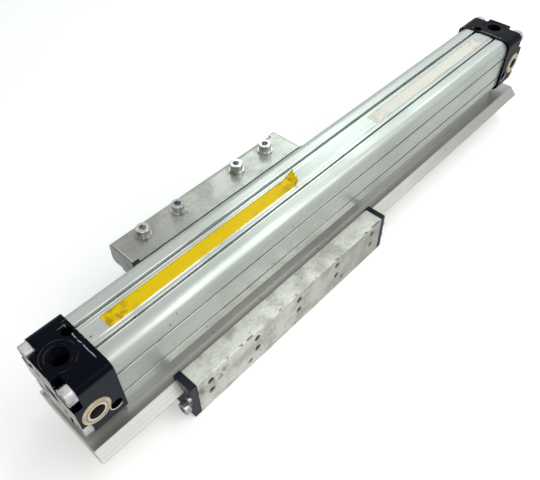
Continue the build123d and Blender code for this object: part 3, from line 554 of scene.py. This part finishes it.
@dataclass(frozen=True)
class RingBush:
    """Cream ring with a tan groove and a dark threaded bore, round an axis along Y."""

    name: str
    axis_x: float
    axis_z: float
    bore_r: float = BUSH_BORE_R
    groove_r: float = 7.4 * MM
    lip_r: float = 6.1 * MM
    cream: Colour = (0.56, 0.49, 0.36)
    aged: Colour = (0.42, 0.34, 0.22)
    tan: Colour = (0.22, 0.15, 0.10)
    pale_lip: Colour = (0.66, 0.62, 0.52)
    dark: Colour = (0.11, 0.105, 0.10)

    def material(self) -> Material:
        """Build the material.

        Returns:
            The material.
        """
        paint = Paint(self.name)
        away = paint.away(paint.x - self.axis_x, paint.z - self.axis_z)
        cloud = paint.noise(160.0, 4.0)
        colour = paint.mix(cloud.span(0.35, 0.65), self.cream, self.aged)
        groove = away.band(self.groove_r, 0.35 * MM, 0.4 * MM)
        colour = paint.mix(groove * 0.7, colour, self.tan)
        lip = away.band(self.lip_r, 0.5 * MM, 0.3 * MM)
        colour = paint.mix(lip * 0.7, colour, self.pale_lip)
        bore = away.span(self.bore_r + 0.25 * MM, self.bore_r + 0.1 * MM)
        colour = paint.mix(bore, colour, self.dark)
        rough = cloud * 0.2 + 0.35
        return paint.surface(Base_Color=colour, Metallic=bore * 0.85, Roughness=rough,
                             Normal=paint.relief(cloud + groove * -2.0, 0.08, 0.2))


@dataclass(frozen=True)
class Steel:
    """Plated or bare steel with a fine grain."""

    name: str
    colour: Colour = (0.60, 0.61, 0.63)
    shade: Colour = (0.40, 0.41, 0.43)
    roughness: float = 0.24
    metallic: float = 0.95
    edge_mm: float = 0.12

    def material(self) -> Material:
        """Build the material.

        Returns:
            The material.
        """
        paint = Paint(self.name)
        cloud = paint.noise(180.0, 4.0)
        grain = paint.noise(900.0, 2.0)
        colour = paint.mix(cloud.span(0.35, 0.7), self.colour, self.shade)
        rough = cloud * 0.16 + (self.roughness - 0.08)
        return paint.surface(Base_Color=colour, Metallic=self.metallic, Roughness=rough,
                             Normal=paint.relief(grain, 0.004, self.edge_mm))


@dataclass(frozen=True)
class Milled:
    """Milled aluminium, mottled by handling, with nicks on its upper edges and stains about given spots;
    where asked, painted shade along X and a painted rim of shade and highlight round the top face.
    """

    name: str
    pale: Colour = (0.60, 0.61, 0.58)
    shade: Colour = (0.42, 0.42, 0.39)
    roughness: float = 0.42
    metallic: float = 0.5
    edge_y: float = 0.0
    edge_z: float = 0.0
    stains: tuple[tuple[Point, float], ...] = ()
    # Painted shade: darker between these two places along X, full at the second, on the side face only where
    # an edge is given.
    painted_shade_from_x: float = 0.0
    painted_shade_to_x: float = 0.0
    rim_high: Point = (0.0, 0.0, 0.0)
    speck: Colour = (0.10, 0.095, 0.09)
    scratched: Colour = (0.78, 0.78, 0.76)
    nick: Colour = (0.06, 0.055, 0.05)
    grease: Colour = (0.17, 0.14, 0.08)
    # Colours of the painted highlight line and the painted shade round the top face's outline.
    rim_highlight: Colour = (0.80, 0.81, 0.78)
    rim_shade: Colour = (0.05, 0.05, 0.05)

    def material(self) -> Material:
        """Build the material.

        Returns:
            The material.
        """
        paint = Paint(self.name)
        mottle = paint.noise(70.0, 6.0)
        fine = paint.noise(420.0, 3.0)
        lay = paint.noise(1.0, 2.0, (60.0, 700.0, 700.0))
        tone = mottle.span(0.40, 0.66) * 0.7 + fine.span(0.42, 0.74) * 0.4
        colour = paint.mix(tone, self.pale, self.shade)
        # Painted shade along X.
        if self.painted_shade_to_x != self.painted_shade_from_x:
            painted_shade = (paint.x + mottle * (40.0 * MM)).span(self.painted_shade_from_x, self.painted_shade_to_x)
            if self.edge_y:
                painted_shade = painted_shade * paint.y.size().over(self.edge_y - 0.1 * MM)
            colour = paint.mix(painted_shade * 0.55, colour, tuple(c * 0.62 for c in self.shade))
        scratch = paint.scratches(25.0, 0.03) + paint.scratches(-40.0, 0.01)
        colour = paint.mix(paint.specks(260.0, 0.20, 0.12) * 0.7, colour, self.speck)
        colour = paint.mix(scratch.lowest(1.0) * 0.45, colour, self.scratched)
        if self.edge_z:
            colour = self._nicked(paint, colour)
        for spot, reach in self.stains:
            colour = self._stained(paint, colour, spot, reach)
        # Painted rim: shade on the outline and a highlight line inside it.
        if self.rim_high[2]:
            colour = self._painted_rim(paint, colour)
        rough = mottle * 0.20 + (self.roughness - 0.10)
        return paint.surface(Base_Color=colour, Metallic=self.metallic, Roughness=rough,
                             Normal=paint.relief(lay * 0.6 + fine * 0.4, 0.012, 0.25))

    def _nicked(self, paint: Paint, colour: NodeSocket) -> NodeSocket:
        """Lay dark nicks on the long upper edge.

        Args:
            paint: the material.
            colour: what lies below.

        Returns:
            The nicked colour.
        """
        near_edge = (paint.z - self.edge_z).size().span(1.6 * MM, 0.3 * MM)
        near_side = (paint.y.size() - self.edge_y).size().span(1.8 * MM, 0.3 * MM)
        nick = paint.noise(210.0, 2.0, (0.6, 1.0, 1.0)).span(0.57, 0.61)
        return paint.mix(near_edge * near_side * nick * 0.9, colour, self.nick)

    def _painted_rim(self, paint: Paint, colour: NodeSocket) -> NodeSocket:
        """Painted shade along the outline of the top face, with a painted highlight line inside it.

        Args:
            paint: the material.
            colour: what lies below.

        Returns:
            The rimmed colour.
        """
        high_x, high_y, high_z = self.rim_high
        inside = (high_x - paint.x.size()).lowest(high_y - paint.y)
        top = paint.z.over(high_z - 0.1 * MM)
        bright = inside.band(1.3 * MM, 0.15 * MM, 0.2 * MM) * top * paint.noise(60.0, 2.0).span(0.35, 0.6)
        colour = paint.mix(bright * 0.6, colour, self.rim_highlight)
        return paint.mix(inside.span(0.75 * MM, 0.45 * MM) * top * 0.85, colour, self.rim_shade)

    def _stained(self, paint: Paint, colour: NodeSocket, spot: Point, reach: float) -> NodeSocket:
        """Lay an olive-brown grease stain over a colour.

        Args:
            paint: the material.
            colour: what lies below.
            spot: the stain's middle.
            reach: how far it spreads.

        Returns:
            The stained colour.
        """
        x, y, z = spot
        away = paint.away(paint.away(paint.x - x, paint.y - y), (paint.z - z) * 1.3)
        patchy = paint.noise(230.0, 5.0)
        mask = away.span(reach, reach * 0.3) * patchy.span(0.42, 0.58)
        return paint.mix(mask * 0.85, colour, self.grease)


@dataclass(frozen=True)
class Moulded:
    """Moulded plastic or rubber with a fine grain and some dust."""

    name: str
    colour: Colour
    dust: Colour
    roughness: float = 0.5
    dusty: float = 0.25
    edge_mm: float = 0.2

    def material(self) -> Material:
        """Build the material.

        Returns:
            The material.
        """
        paint = Paint(self.name)
        cloud = paint.noise(60.0, 5.0)
        grain = paint.noise(1500.0, 2.0)
        mask = cloud.span(0.45, 0.8) * self.dusty + paint.specks(300.0, 0.2, 0.06) * self.dusty
        colour = paint.mix(mask, self.colour, self.dust)
        rough = cloud * 0.2 + (self.roughness - 0.1)
        return paint.surface(Base_Color=colour, Roughness=rough, Specular_IOR_Level=0.3,
                             Normal=paint.relief(grain, 0.02, self.edge_mm))


@dataclass(frozen=True)
class WiperPlastic:
    """Navy-black plastic whose long flanks are matt and painted lighter grey as a painted reflection."""

    name: str
    flank_y: float
    colour: Colour = (0.0035, 0.004, 0.013)
    clouded: Colour = (0.009, 0.010, 0.022)
    # Painted reflection: lighter grey on the long flanks.
    flank_reflection: Colour = (0.026, 0.028, 0.038)

    def material(self) -> Material:
        """Build the material.

        Returns:
            The material.
        """
        paint = Paint(self.name)
        cloud = paint.noise(80.0, 4.0)
        side = paint.y.size().span(self.flank_y - 0.3 * MM, self.flank_y - 0.05 * MM)
        colour = paint.mix(cloud.span(0.4, 0.7), self.colour, self.clouded)
        # Painted reflection: the long flanks lighter grey.
        colour = paint.mix(side, colour, self.flank_reflection)
        rough = cloud * 0.15 + side * 0.2 + 0.26
        return paint.surface(Base_Color=colour, Roughness=rough, Specular_IOR_Level=0.25,
                             Normal=paint.relief(paint.noise(1500.0, 2.0), 0.02, 0.3))


@dataclass(frozen=True)
class Felt:
    """Oiled wool felt."""

    name: str
    colour: Colour = (0.45, 0.41, 0.32)
    oiled: Colour = (0.24, 0.21, 0.15)

    def material(self) -> Material:
        """Build the material.

        Returns:
            The material.
        """
        paint = Paint(self.name)
        fibre = paint.noise(1800.0, 4.0, (0.4, 1.0, 1.0))
        oil = paint.noise(90.0, 3.0).span(0.4, 0.7)
        colour = paint.mix(oil, self.colour, self.oiled)
        return paint.surface(Base_Color=colour, Roughness=0.95, Normal=paint.relief(fibre, 0.15))


@dataclass(frozen=True)
class Film:
    """Plastic film, a little dirty and worn at its ends."""

    name: str
    colour: Colour
    rubbed_and_highlight: Colour
    start_x: float
    end_x: float

    def material(self) -> Material:
        """Build the material.

        Returns:
            The material.
        """
        paint = Paint(self.name)
        dirt = paint.noise(170.0, 5.0)
        near_end = (paint.x - self.start_x).span(24.0 * MM, 8.0 * MM)
        far_end = (paint.x - self.end_x).span(-26.0 * MM, -8.0 * MM)
        ends = near_end.highest(far_end) * dirt.span(0.42, 0.58)
        fleck = paint.noise(700.0, 3.0).span(0.64, 0.70)
        mask = (ends * 0.65 + dirt.span(0.5, 0.8) * 0.25 + fleck * 0.2).lowest(1.0)
        colour = paint.mix(mask, self.colour, self.rubbed_and_highlight)
        crease = paint.noise(50.0, 2.0, (1.0, 3.0, 1.0))
        return paint.surface(Base_Color=colour, Roughness=0.40, Specular_IOR_Level=0.12,
                             Normal=paint.relief(crease, 0.06))


# Geometry Nodes


class Recipe(Tree):
    """A Geometry Nodes tree with named inputs, run once to a plain mesh."""

    def __init__(self, name: str) -> None:
        """Start an empty tree.

        Args:
            name: the tree's name.
        """
        super().__init__(bpy.data.node_groups.new(name, "GeometryNodeTree"))
        self.tree.interface.new_socket("Geometry", in_out="OUTPUT", socket_type="NodeSocketGeometry")
        self.given = self.make("NodeGroupInput")
        self.sockets: dict[str, object] = {}

    def ask(self, name: str) -> NodeSocket:
        """Add a named number to the inputs.

        Args:
            name: the number's name.

        Returns:
            Its socket inside the tree.
        """
        socket = self.tree.interface.new_socket(name, in_out="INPUT", socket_type="NodeSocketFloat")
        self.sockets[name] = socket
        return self.given.outputs[name]

    def end(self, geometry: NodeSocket, material: Material) -> None:
        """Close the tree with Realize Instances and Set Material.

        Args:
            geometry: the finished geometry.
            material: its finish.
        """
        real = self.make("GeometryNodeRealizeInstances", {"Geometry": geometry})
        dressed = self.make("GeometryNodeSetMaterial", {"Geometry": real.outputs[0], "Material": material})
        self.make("NodeGroupOutput", {"Geometry": dressed.outputs[0]})

    def run(self, name: str, values: dict[str, float]) -> Object:
        """Evaluate the tree on an empty mesh.

        Args:
            name: the piece's name.
            values: the named inputs' values.

        Returns:
            The piece as a plain mesh object.
        """
        host = bpy.data.objects.new(name + "_host", bpy.data.meshes.new(name + "_host"))
        bpy.context.scene.collection.objects.link(host)
        modifier = host.modifiers.new("recipe", "NODES")
        modifier.node_group = self.tree
        for key, value in values.items():
            modifier[self.sockets[key].identifier] = value
        graph = bpy.context.evaluated_depsgraph_get()
        mesh = bpy.data.meshes.new_from_object(host.evaluated_get(graph), depsgraph=graph)
        host.modifiers.remove(modifier)
        bpy.data.objects.remove(host)
        mesh.name = name
        piece = bpy.data.objects.new(name, mesh)
        bpy.context.scene.collection.objects.link(piece)
        return piece


def thread_recipe(material: Material) -> Recipe:
    """Helical thread crest inside a hole, along +Z from the origin.

    Args:
        material: the crest's finish.

    Returns:
        The recipe, which asks for Radius, Turns, Depth and Tooth.
    """
    recipe = Recipe("thread")
    radius = recipe.ask("Radius")
    helix = recipe.make("GeometryNodeCurveSpiral", {
        "Resolution": 32, "Rotations": recipe.ask("Turns"), "Start Radius": radius, "End Radius": radius,
        "Height": recipe.ask("Depth")})
    tooth = recipe.make("GeometryNodeCurvePrimitiveCircle", {"Resolution": 4, "Radius": recipe.ask("Tooth")})
    crest = recipe.make("GeometryNodeCurveToMesh", {
        "Curve": helix.outputs[0], "Profile Curve": tooth.outputs[0], "Fill Caps": True})
    recipe.end(crest.outputs[0], material)
    return recipe


# Mesh helpers


def joined(name: str, pieces: list[Object]) -> Object:
    """One object from several meshes of one material.

    Args:
        name: the new piece's name.
        pieces: the objects that it takes up, which are removed.

    Returns:
        The piece, with its place in its mesh.
    """
    shape = bmesh.new()
    material = pieces[0].data.materials[0]
    for piece in pieces:
        mesh = piece.data
        shape.from_mesh(mesh)
        bpy.data.objects.remove(piece)
        bpy.data.meshes.remove(mesh)
    return from_bmesh(name, shape, material)


def from_bmesh(name: str, shape: bmesh.types.BMesh, material: Material) -> Object:
    """Object from a finished shape, which is freed.

    Args:
        name: the object's name.
        shape: its faces.
        material: its finish.

    Returns:
        The object.
    """
    mesh = bpy.data.meshes.new(name)
    shape.to_mesh(mesh)
    shape.free()
    mesh.materials.append(material)
    piece = bpy.data.objects.new(name, mesh)
    bpy.context.scene.collection.objects.link(piece)
    return piece


def settle(piece: Object, body: Body) -> None:
    """Let a finished piece ride on its body.

    Args:
        piece: the piece.
        body: the rigid body that carries it.
    """
    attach(piece, body.value)
    LOG.info("%s rides on %s", piece.name, body.value)


# Sub-assemblies


@dataclass
class Dresser:
    """Gives each CAD node its finish.

    The leg's stains are (X from the carriage's near end, Z, reach) and the plate's (X, reach), all in mm.
    """

    nodes: dict[str, Object]
    leg_stains: tuple[Point, ...] = ((20.0, 27.0, 11.0), (2.0, 26.0, 9.0))
    plate_stains: tuple[tuple[float, float], ...] = ((-62.4, 10.0), (-29.9, 9.0), (29.9, 12.0), (62.4, 9.0))
    plate_screws_y: float = 48.0 * MM

    def dress(self, finish: Finish, *names: str) -> Material:
        """Put one finish on several nodes.

        Args:
            finish: the finish to build.
            names: the nodes that take it.

        Returns:
            The material.
        """
        material = finish.material()
        for name in names:
            self.nodes[name].data.materials.clear()
            self.nodes[name].data.materials.append(material)
        LOG.info("%s on %d nodes", material.name, len(names))
        return material

    def dress_cylinder(self) -> None:
        """Barrel, rails, caps and what is in them."""
        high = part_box("barrel")[1]
        self.dress(Anodised("barrel_anodised", top_z=high.z, flank_y=high.y), "barrel")
        # The rails carry painted shade on their top and towards the far end.
        rail = Anodised("rail_anodised", pale=(0.66, 0.66, 0.635), shade=(0.50, 0.50, 0.475), roughness=0.38,
                        metallic=0.5, painted_shade_z=32.4 * MM, far_shade_from_x=120.0 * MM, far_shade_to_x=300.0 * MM)
        self.dress(rail, "left_guide_rail", "right_guide_rail", *both("rail_bridge"))
        for end in End:
            cap, bush = end.prefix + "end_cap", end.prefix + "port_bush"
            self.dress(PaintedCap(end.prefix + "cap_lacquer", face_x=end.outer_x(cap), inward=end.inward,
                                  rear_x=end.outer_x("barrel"), middle_z=centre(cap)[2]), cap)
            axis_x, _, axis_z = centre(bush)
            self.dress(RingBush(end.prefix + "bush_cream", axis_x, axis_z), bush)
        self.dress(Steel("band_steel", (0.55, 0.55, 0.54), (0.42, 0.42, 0.42), 0.30),
                   "inner_sealing_band", "outer_sealing_band", "pressure_bar", *both("band_clamp"))

    def dress_carriage(self) -> None:
        """Carriage, slide elements, wipers and the side bracket."""
        low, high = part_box("carriage_body")
        stains = tuple(((low.x + x * MM, low.y, z * MM), reach * MM) for x, z, reach in self.leg_stains)
        # The leg's side gets painted shade towards the far end.
        self.dress(Milled("carriage_milled", (0.66, 0.665, 0.63), (0.38, 0.375, 0.335), edge_y=-low.y,
                          edge_z=high.z, stains=stains, painted_shade_from_x=-20.0 * MM, painted_shade_to_x=120.0 * MM),
                   "carriage_body")
        self.dress(Milled("bracket_milled", (0.42, 0.42, 0.41), (0.30, 0.30, 0.29), 0.46),
                   "riser_bracket", "spacer_plate", "driver_block", "piston_yoke",
                   *both("piston_head", "cushion_tube"))
        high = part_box("top_plate")[1]
        stains = tuple(((x * MM, self.plate_screws_y, high.z), reach * MM) for x, reach in self.plate_stains)
        # The top plate gets painted shade towards its near end and a painted rim of shade and highlight.
        self.dress(Milled("top_plate_milled", (0.46, 0.475, 0.44), (0.30, 0.305, 0.275), 0.32, 0.55,
                          stains=stains, rim_high=tuple(high), painted_shade_from_x=10.0 * MM, painted_shade_to_x=-70.0 * MM),
                   "top_plate")
        self.dress(WiperPlastic("wiper_black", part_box("near_wiper_plate")[1].y), *both("wiper_plate"))
        self.dress(Moulded("guard_black", (0.004, 0.004, 0.008), (0.05, 0.05, 0.05), 0.5), "guard_strip")
        self.dress(Moulded("slide_plastic", (0.66, 0.63, 0.54), (0.4, 0.37, 0.3), 0.5),
                   "left_slide_element", "right_slide_element", *both("wear_ring", "band_shoe"))
        self.dress(Moulded("seal_rubber", (0.012, 0.012, 0.014), (0.08, 0.08, 0.08), 0.55, 0.2, 0.0),
                   *both("cap_seal", "piston_seal", "cushion_seal"))
        self.dress(Felt("wiper_felt"), *both("felt_wipers"))

    def dress_fasteners(self) -> Material:
        """Screws, plugs and the magnet.

        Returns:
            The black oxide, which the bushes' threads share.
        """
        self.dress(Steel("zinc_dull", (0.52, 0.53, 0.53), (0.26, 0.26, 0.265), 0.20, edge_mm=0.0),
                   "top_plate_screws", "top_plate_washers", "riser_screws", "driver_screws")
        self.dress(Steel("zinc_plated", (0.56, 0.56, 0.56), (0.34, 0.34, 0.35), 0.26, edge_mm=0.0),
                   *both("cap_screws", "wiper_screws", "cushion_screw", "band_clamp_screws",
                         "piston_head_screw"))
        self.dress(Moulded("ferrite", (0.04, 0.04, 0.04), (0.10, 0.09, 0.08), 0.7), "piston_magnet")
        return self.dress(Moulded("black_oxide", (0.010, 0.010, 0.011), (0.04, 0.04, 0.04), 0.5, 0.3, 0.0),
                          "adjusting_screws", "rail_lock_screws", *both("port_plugs"))


@dataclass(frozen=True)
class Thread:
    """Size of an inside thread."""

    radius: float
    depth: float
    pitch: float


@dataclass(frozen=True)
class Hole:
    """A threaded hole: its mouth, the way into it, and its thread."""

    mouth: Point
    into: Point
    thread: Thread
    tooth_share: float = 0.42
    gap: float = 0.02 * MM

    def crest(self, recipe: Recipe) -> Object:
        """Run the recipe for this hole and put the crest in its place.

        Args:
            recipe: the thread recipe with its material.

        Returns:
            The crest.
        """
        pitch = self.thread.pitch
        tooth = pitch * self.tooth_share
        length = self.thread.depth - 2.0 * tooth
        crest = recipe.run("thread_crest", {"Radius": self.thread.radius - self.gap, "Depth": length,
                                            "Turns": length / pitch, "Tooth": tooth})
        into = Vector(self.into)
        turn = Vector((0.0, 0.0, 1.0)).rotation_difference(into).to_matrix().to_4x4()
        start = Vector(self.mouth) + into * tooth
        crest.data.transform(Matrix.Translation(start) @ turn)
        return crest


@dataclass
class Threads:
    """Thread crests in the ports, bushes, rail ends, end faces and load holes."""

    port: Thread = Thread(6.58 * MM, 11.0 * MM, 1.34 * MM)
    port_at: float = PORT_AT
    port_sink: float = 0.4 * MM
    mount: Thread = Thread(2.1 * MM, 9.5 * MM, 0.8 * MM)
    mount_at: float = 10.0 * MM
    bush: Thread = Thread(BUSH_BORE_R, 10.5 * MM, 1.0 * MM)
    bush_sink: float = 0.3 * MM
    rail: Thread = Thread(3.4 * MM, 11.5 * MM, 1.25 * MM)
    rail_y: float = 21.5 * MM
    rail_z: float = 25.2 * MM
    load: Thread = Thread(2.5 * MM, 10.0 * MM, 1.0 * MM)
    load_x: tuple[float, float] = (32.0 * MM, 80.0 * MM)
    load_y: float = 32.0 * MM

    def build(self, lacquer: Material, rail: Material, milled: Material,
              oxide: Material) -> None:
        """Make one piece per body and finish.

        Args:
            lacquer: the caps' finish, for the ports and the end faces.
            rail: the rails' finish.
            milled: the carriage's finish, for its load holes.
            oxide: the dark finish inside the bushes.
        """
        for name, material, holes, body, slot in (
                ("port_threads", lacquer, self.ports(), Body.CYLINDER, Slot.CAP),
                ("bush_threads", oxide, self.bushes(), Body.CYLINDER, Slot.DARK),
                ("rail_end_threads", rail, self.rail_ends(), Body.CYLINDER, Slot.RAIL),
                ("load_threads", milled, self.load_holes(), Body.CARRIAGE, Slot.MILLED)):
            recipe = thread_recipe(material)
            settle(joined(name, [hole.crest(recipe) for hole in holes]), body)

    def ports(self) -> list[Hole]:
        """Both top ports and the tapped holes of both end faces.

        Returns:
            The holes.
        """
        holes = []
        for end in End:
            cap = end.prefix + "end_cap"
            face_x = end.outer_x(cap)
            mouth = (face_x + end.inward * self.port_at, 0.0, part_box(cap)[1].z - self.port_sink)
            holes.append(Hole(mouth, (0.0, 0.0, -1.0), self.port))
            for y in (-self.mount_at, self.mount_at):
                for z in (-self.mount_at, self.mount_at):
                    holes.append(Hole((face_x, y, centre(cap)[2] + z), (end.inward, 0.0, 0.0), self.mount))
        return holes

    def bushes(self) -> list[Hole]:
        """Both ring bushes in the right-hand side ports.

        Returns:
            The holes.
        """
        holes = []
        for bush in both("port_bush"):
            x, _, z = centre(bush)
            holes.append(Hole((x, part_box(bush)[0].y + self.bush_sink, z), (0.0, 1.0, 0.0), self.bush))
        return holes

    def rail_ends(self) -> list[Hole]:
        """Four tapped holes in the rails' end faces."""
        return [Hole((end.outer_x("left_guide_rail"), y, self.rail_z), (end.inward, 0.0, 0.0), self.rail)
                for end in End for y in (-self.rail_y, self.rail_y)]

    def load_holes(self) -> list[Hole]:
        """Eight tapped holes in the carriage's load face."""
        return [Hole((sx * x, sy * self.load_y, 0.0), (0.0, 0.0, 1.0), self.load)
                for x in self.load_x for sx in (-1.0, 1.0) for sy in (-1.0, 1.0)]


@dataclass
class BareStrip:
    """Thin film on the barrel's top land, with rounded corners and perhaps a lifted, torn far end."""

    name: str
    film: Film
    width: float
    curl_length: float = 0.0
    curl_turn: float = 0.0
    tear: float = 0.0
    torn_length: float = 12.0 * MM
    thickness: float = 0.12 * MM
    gap: float = 0.02 * MM
    corner_r: float = 1.2 * MM
    steps: int = 90
    columns: int = 8

    def outline_half_width(self, x: float) -> float:
        """Half width at a place along the strip, less in its rounded corners.

        Args:
            x: the place.

        Returns:
            The half width.
        """
        half = self.width / 2
        inset = min(x - self.film.start_x, self.film.end_x - x)
        if inset >= self.corner_r:
            return half
        rest = self.corner_r - max(inset, 0.0)
        return half - self.corner_r + math.sqrt(max(self.corner_r ** 2 - rest ** 2, 0.0))

    def lifted(self, x: float, y: float) -> Vector:
        """Place of a point of the flat strip after its far end has torn and curled up.

        Args:
            x: the point's place along the strip.
            y: its place across, from the strip's middle.

        Returns:
            The place, with Z from the land.
        """
        across = y / self.width
        last = (x - self.film.end_x) / self.torn_length + 1.0
        if self.tear and last > 0.0:
            x += self.tear * last * (across * 1.4 + 0.25 * math.sin(across * 22.0))
        start = self.film.end_x - self.curl_length * (1.0 - 0.35 * across)
        if not self.curl_length or x <= start:
            return Vector((x, y, 0.0))
        radius = self.curl_length / self.curl_turn
        angle = (x - start) / radius
        return Vector((start + radius * math.sin(angle), y, radius * (1.0 - math.cos(angle))))

    def build(self, land_z: float) -> None:
        """Make the strip on the land.

        Args:
            land_z: height of the barrel's top face.
        """
        shape = bmesh.new()
        rows = []
        length = self.film.end_x - self.film.start_x
        for i in range(self.steps + 1):
            ease = 0.5 - 0.5 * math.cos(math.pi * i / self.steps)
            x = self.film.start_x + ease * length
            half = self.outline_half_width(x)
            row = []
            for j in range(self.columns + 1):
                spot = self.lifted(x, half * (2.0 * j / self.columns - 1.0))
                row.append(shape.verts.new((spot.x, spot.y, land_z + self.gap + spot.z)))
            rows.append(row)
        for first, second in zip(rows, rows[1:]):
            for j in range(self.columns):
                shape.faces.new((first[j], second[j], second[j + 1], first[j + 1]))
        bmesh.ops.recalc_face_normals(shape, faces=shape.faces)
        piece = from_bmesh(self.name, shape, self.film.material())
        wall = piece.modifiers.new("thickness", "SOLIDIFY")
        wall.thickness = self.thickness
        wall.offset = 1.0
        piece.data.polygons.foreach_set("use_smooth", [True] * len(piece.data.polygons))
        settle(piece, Body.CYLINDER)


# Studio


@dataclass(frozen=True)
class Lamp:
    """Rectangular area lamp."""

    name: str
    place: Point
    size: tuple[float, float]
    power: float
    tint: Colour = (1.0, 1.0, 1.0)
    aim: Point = (0.08, 0.0, 0.05)

    def hang(self) -> None:
        """Add the lamp."""
        data = bpy.data.lights.new(self.name, "AREA")
        data.shape = "RECTANGLE"
        data.size, data.size_y = self.size
        data.energy = self.power
        data.color = self.tint
        lamp = bpy.data.objects.new(self.name, data)
        bpy.context.scene.collection.objects.link(lamp)
        turn = (Vector(self.aim) - Vector(self.place)).to_track_quat("-Z", "Y").to_matrix().to_4x4()
        lamp.matrix_world = Matrix.Translation(Vector(self.place)) @ turn


@dataclass(frozen=True)
class Studio:
    """Camera, lights, world and floor."""

    camera_place: Point = (-0.20589, -0.21052, 0.38869)
    camera_aim: Point = (0.04724, 0.02949, 0.002)
    camera_roll: float = -0.83
    lens_mm: float = 39.22
    sensor_mm: float = 36.0
    floor_half: float = 3.0
    ambient: float = 0.38
    floor_colour: float = 0.9
    floor_glow: float = 0.30
    far_glow: float = 0.75
    glow_from: float = 0.7
    glow_to: float = 2.0
    lamps: tuple[Lamp, ...] = (
        Lamp("softbox", (0.52, -0.72, 1.05), (1.0, 0.8), 5.6, (1.0, 0.985, 0.94)),
        Lamp("strip", (0.55, -0.09, 1.30), (1.05, 0.24), 3.8, (0.88, 1.0, 0.97)),
        Lamp("window", (1.10, 0.50, 1.05), (1.2, 0.36), 3.8, (0.86, 1.0, 0.97)),
        Lamp("fill", (-0.55, -0.55, 0.45), (0.6, 0.6), 2.3, (1.0, 0.985, 0.94)))

    def build(self) -> None:
        """Set up everything round the object."""
        self.add_camera()
        self.add_world()
        self.add_floor()
        for lamp in self.lamps:
            lamp.hang()
        bpy.context.scene.view_settings.view_transform = "Standard"
        LOG.info("studio with %d lamps", len(self.lamps))

    def add_camera(self) -> None:
        """Camera at the photograph's viewing angle."""
        data = bpy.data.cameras.new("camera")
        data.lens = self.lens_mm
        data.sensor_width = self.sensor_mm
        data.clip_start = 0.01
        camera = bpy.data.objects.new("camera", data)
        bpy.context.scene.collection.objects.link(camera)
        aim = (Vector(self.camera_aim) - Vector(self.camera_place)).to_track_quat("-Z", "Y")
        roll = Matrix.Rotation(math.radians(self.camera_roll), 4, "Z")
        camera.matrix_world = Matrix.Translation(Vector(self.camera_place)) @ aim.to_matrix().to_4x4() @ roll
        bpy.context.scene.camera = camera

    def add_world(self) -> None:
        """White to the camera, in reflections and through glass, softer as a light."""
        world = bpy.data.worlds.new("studio")
        bpy.context.scene.world = world
        world.use_nodes = True
        tree = Tree(world.node_tree)
        path = tree.make("ShaderNodeLightPath")
        seen = path.outputs["Is Camera Ray"]
        for ray in ("Is Glossy Ray", "Is Transmission Ray"):
            either = tree.make("ShaderNodeMath", {0: seen, 1: path.outputs[ray]}, operation="MAXIMUM")
            seen = either.outputs[0]
        strength = tree.make("ShaderNodeMapRange", {"Value": seen, "To Min": self.ambient, "To Max": 1.0})
        white = (1.0, 1.0, 1.0, 1.0)
        sky = tree.make("ShaderNodeBackground", {"Color": white, "Strength": strength.outputs[0]})
        tree.make("ShaderNodeOutputWorld", {"Surface": sky.outputs[0]})

    def add_floor(self) -> None:
        """White floor that keeps the object's shadow and stays white far away."""
        paint = Paint("floor_white")
        far = paint.away(paint.x, paint.y).span(self.glow_from, self.glow_to)
        glow = paint.mix(far, (self.floor_glow,) * 3, (self.far_glow,) * 3)
        camera_ray = paint.make("ShaderNodeLightPath").outputs["Is Camera Ray"]
        material = paint.surface(Base_Color=(*(self.floor_colour,) * 3, 1.0), Roughness=1.0,
                                 Specular_IOR_Level=0.0, Emission_Color=glow, Emission_Strength=camera_ray)
        shape = bmesh.new()
        bmesh.ops.create_grid(shape, x_segments=1, y_segments=1, size=self.floor_half)
        from_bmesh("floor", shape, material)


def main() -> None:
    """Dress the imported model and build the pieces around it."""
    logging.basicConfig(level=logging.INFO, format="%(message)s")
    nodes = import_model()["nodes"]
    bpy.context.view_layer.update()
    Studio().build()
    dresser = Dresser(nodes)
    dresser.dress_cylinder()
    dresser.dress_carriage()
    oxide = dresser.dress_fasteners()
    shared = (nodes[name].data.materials[0] for name in ("near_end_cap", "left_guide_rail", "carriage_body"))
    Threads().build(*shared, oxide)
    yellow = Film("yellow_film", (0.80, 0.56, 0.004), (0.36, 0.23, 0.010), -129.0 * MM, 45.0 * MM)
    cream = Film("name_film", (0.80, 0.78, 0.70), (0.60, 0.57, 0.50), 140.0 * MM, 309.0 * MM)
    torn = BareStrip("yellow_strip", yellow, 11.2 * MM, curl_length=9.5 * MM, curl_turn=0.85, tear=4.0 * MM)
    for strip in (torn, BareStrip("name_strip", cream, 10.8 * MM)):
        strip.build(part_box("barrel")[1].z)


if __name__ == "__main__":
    main()
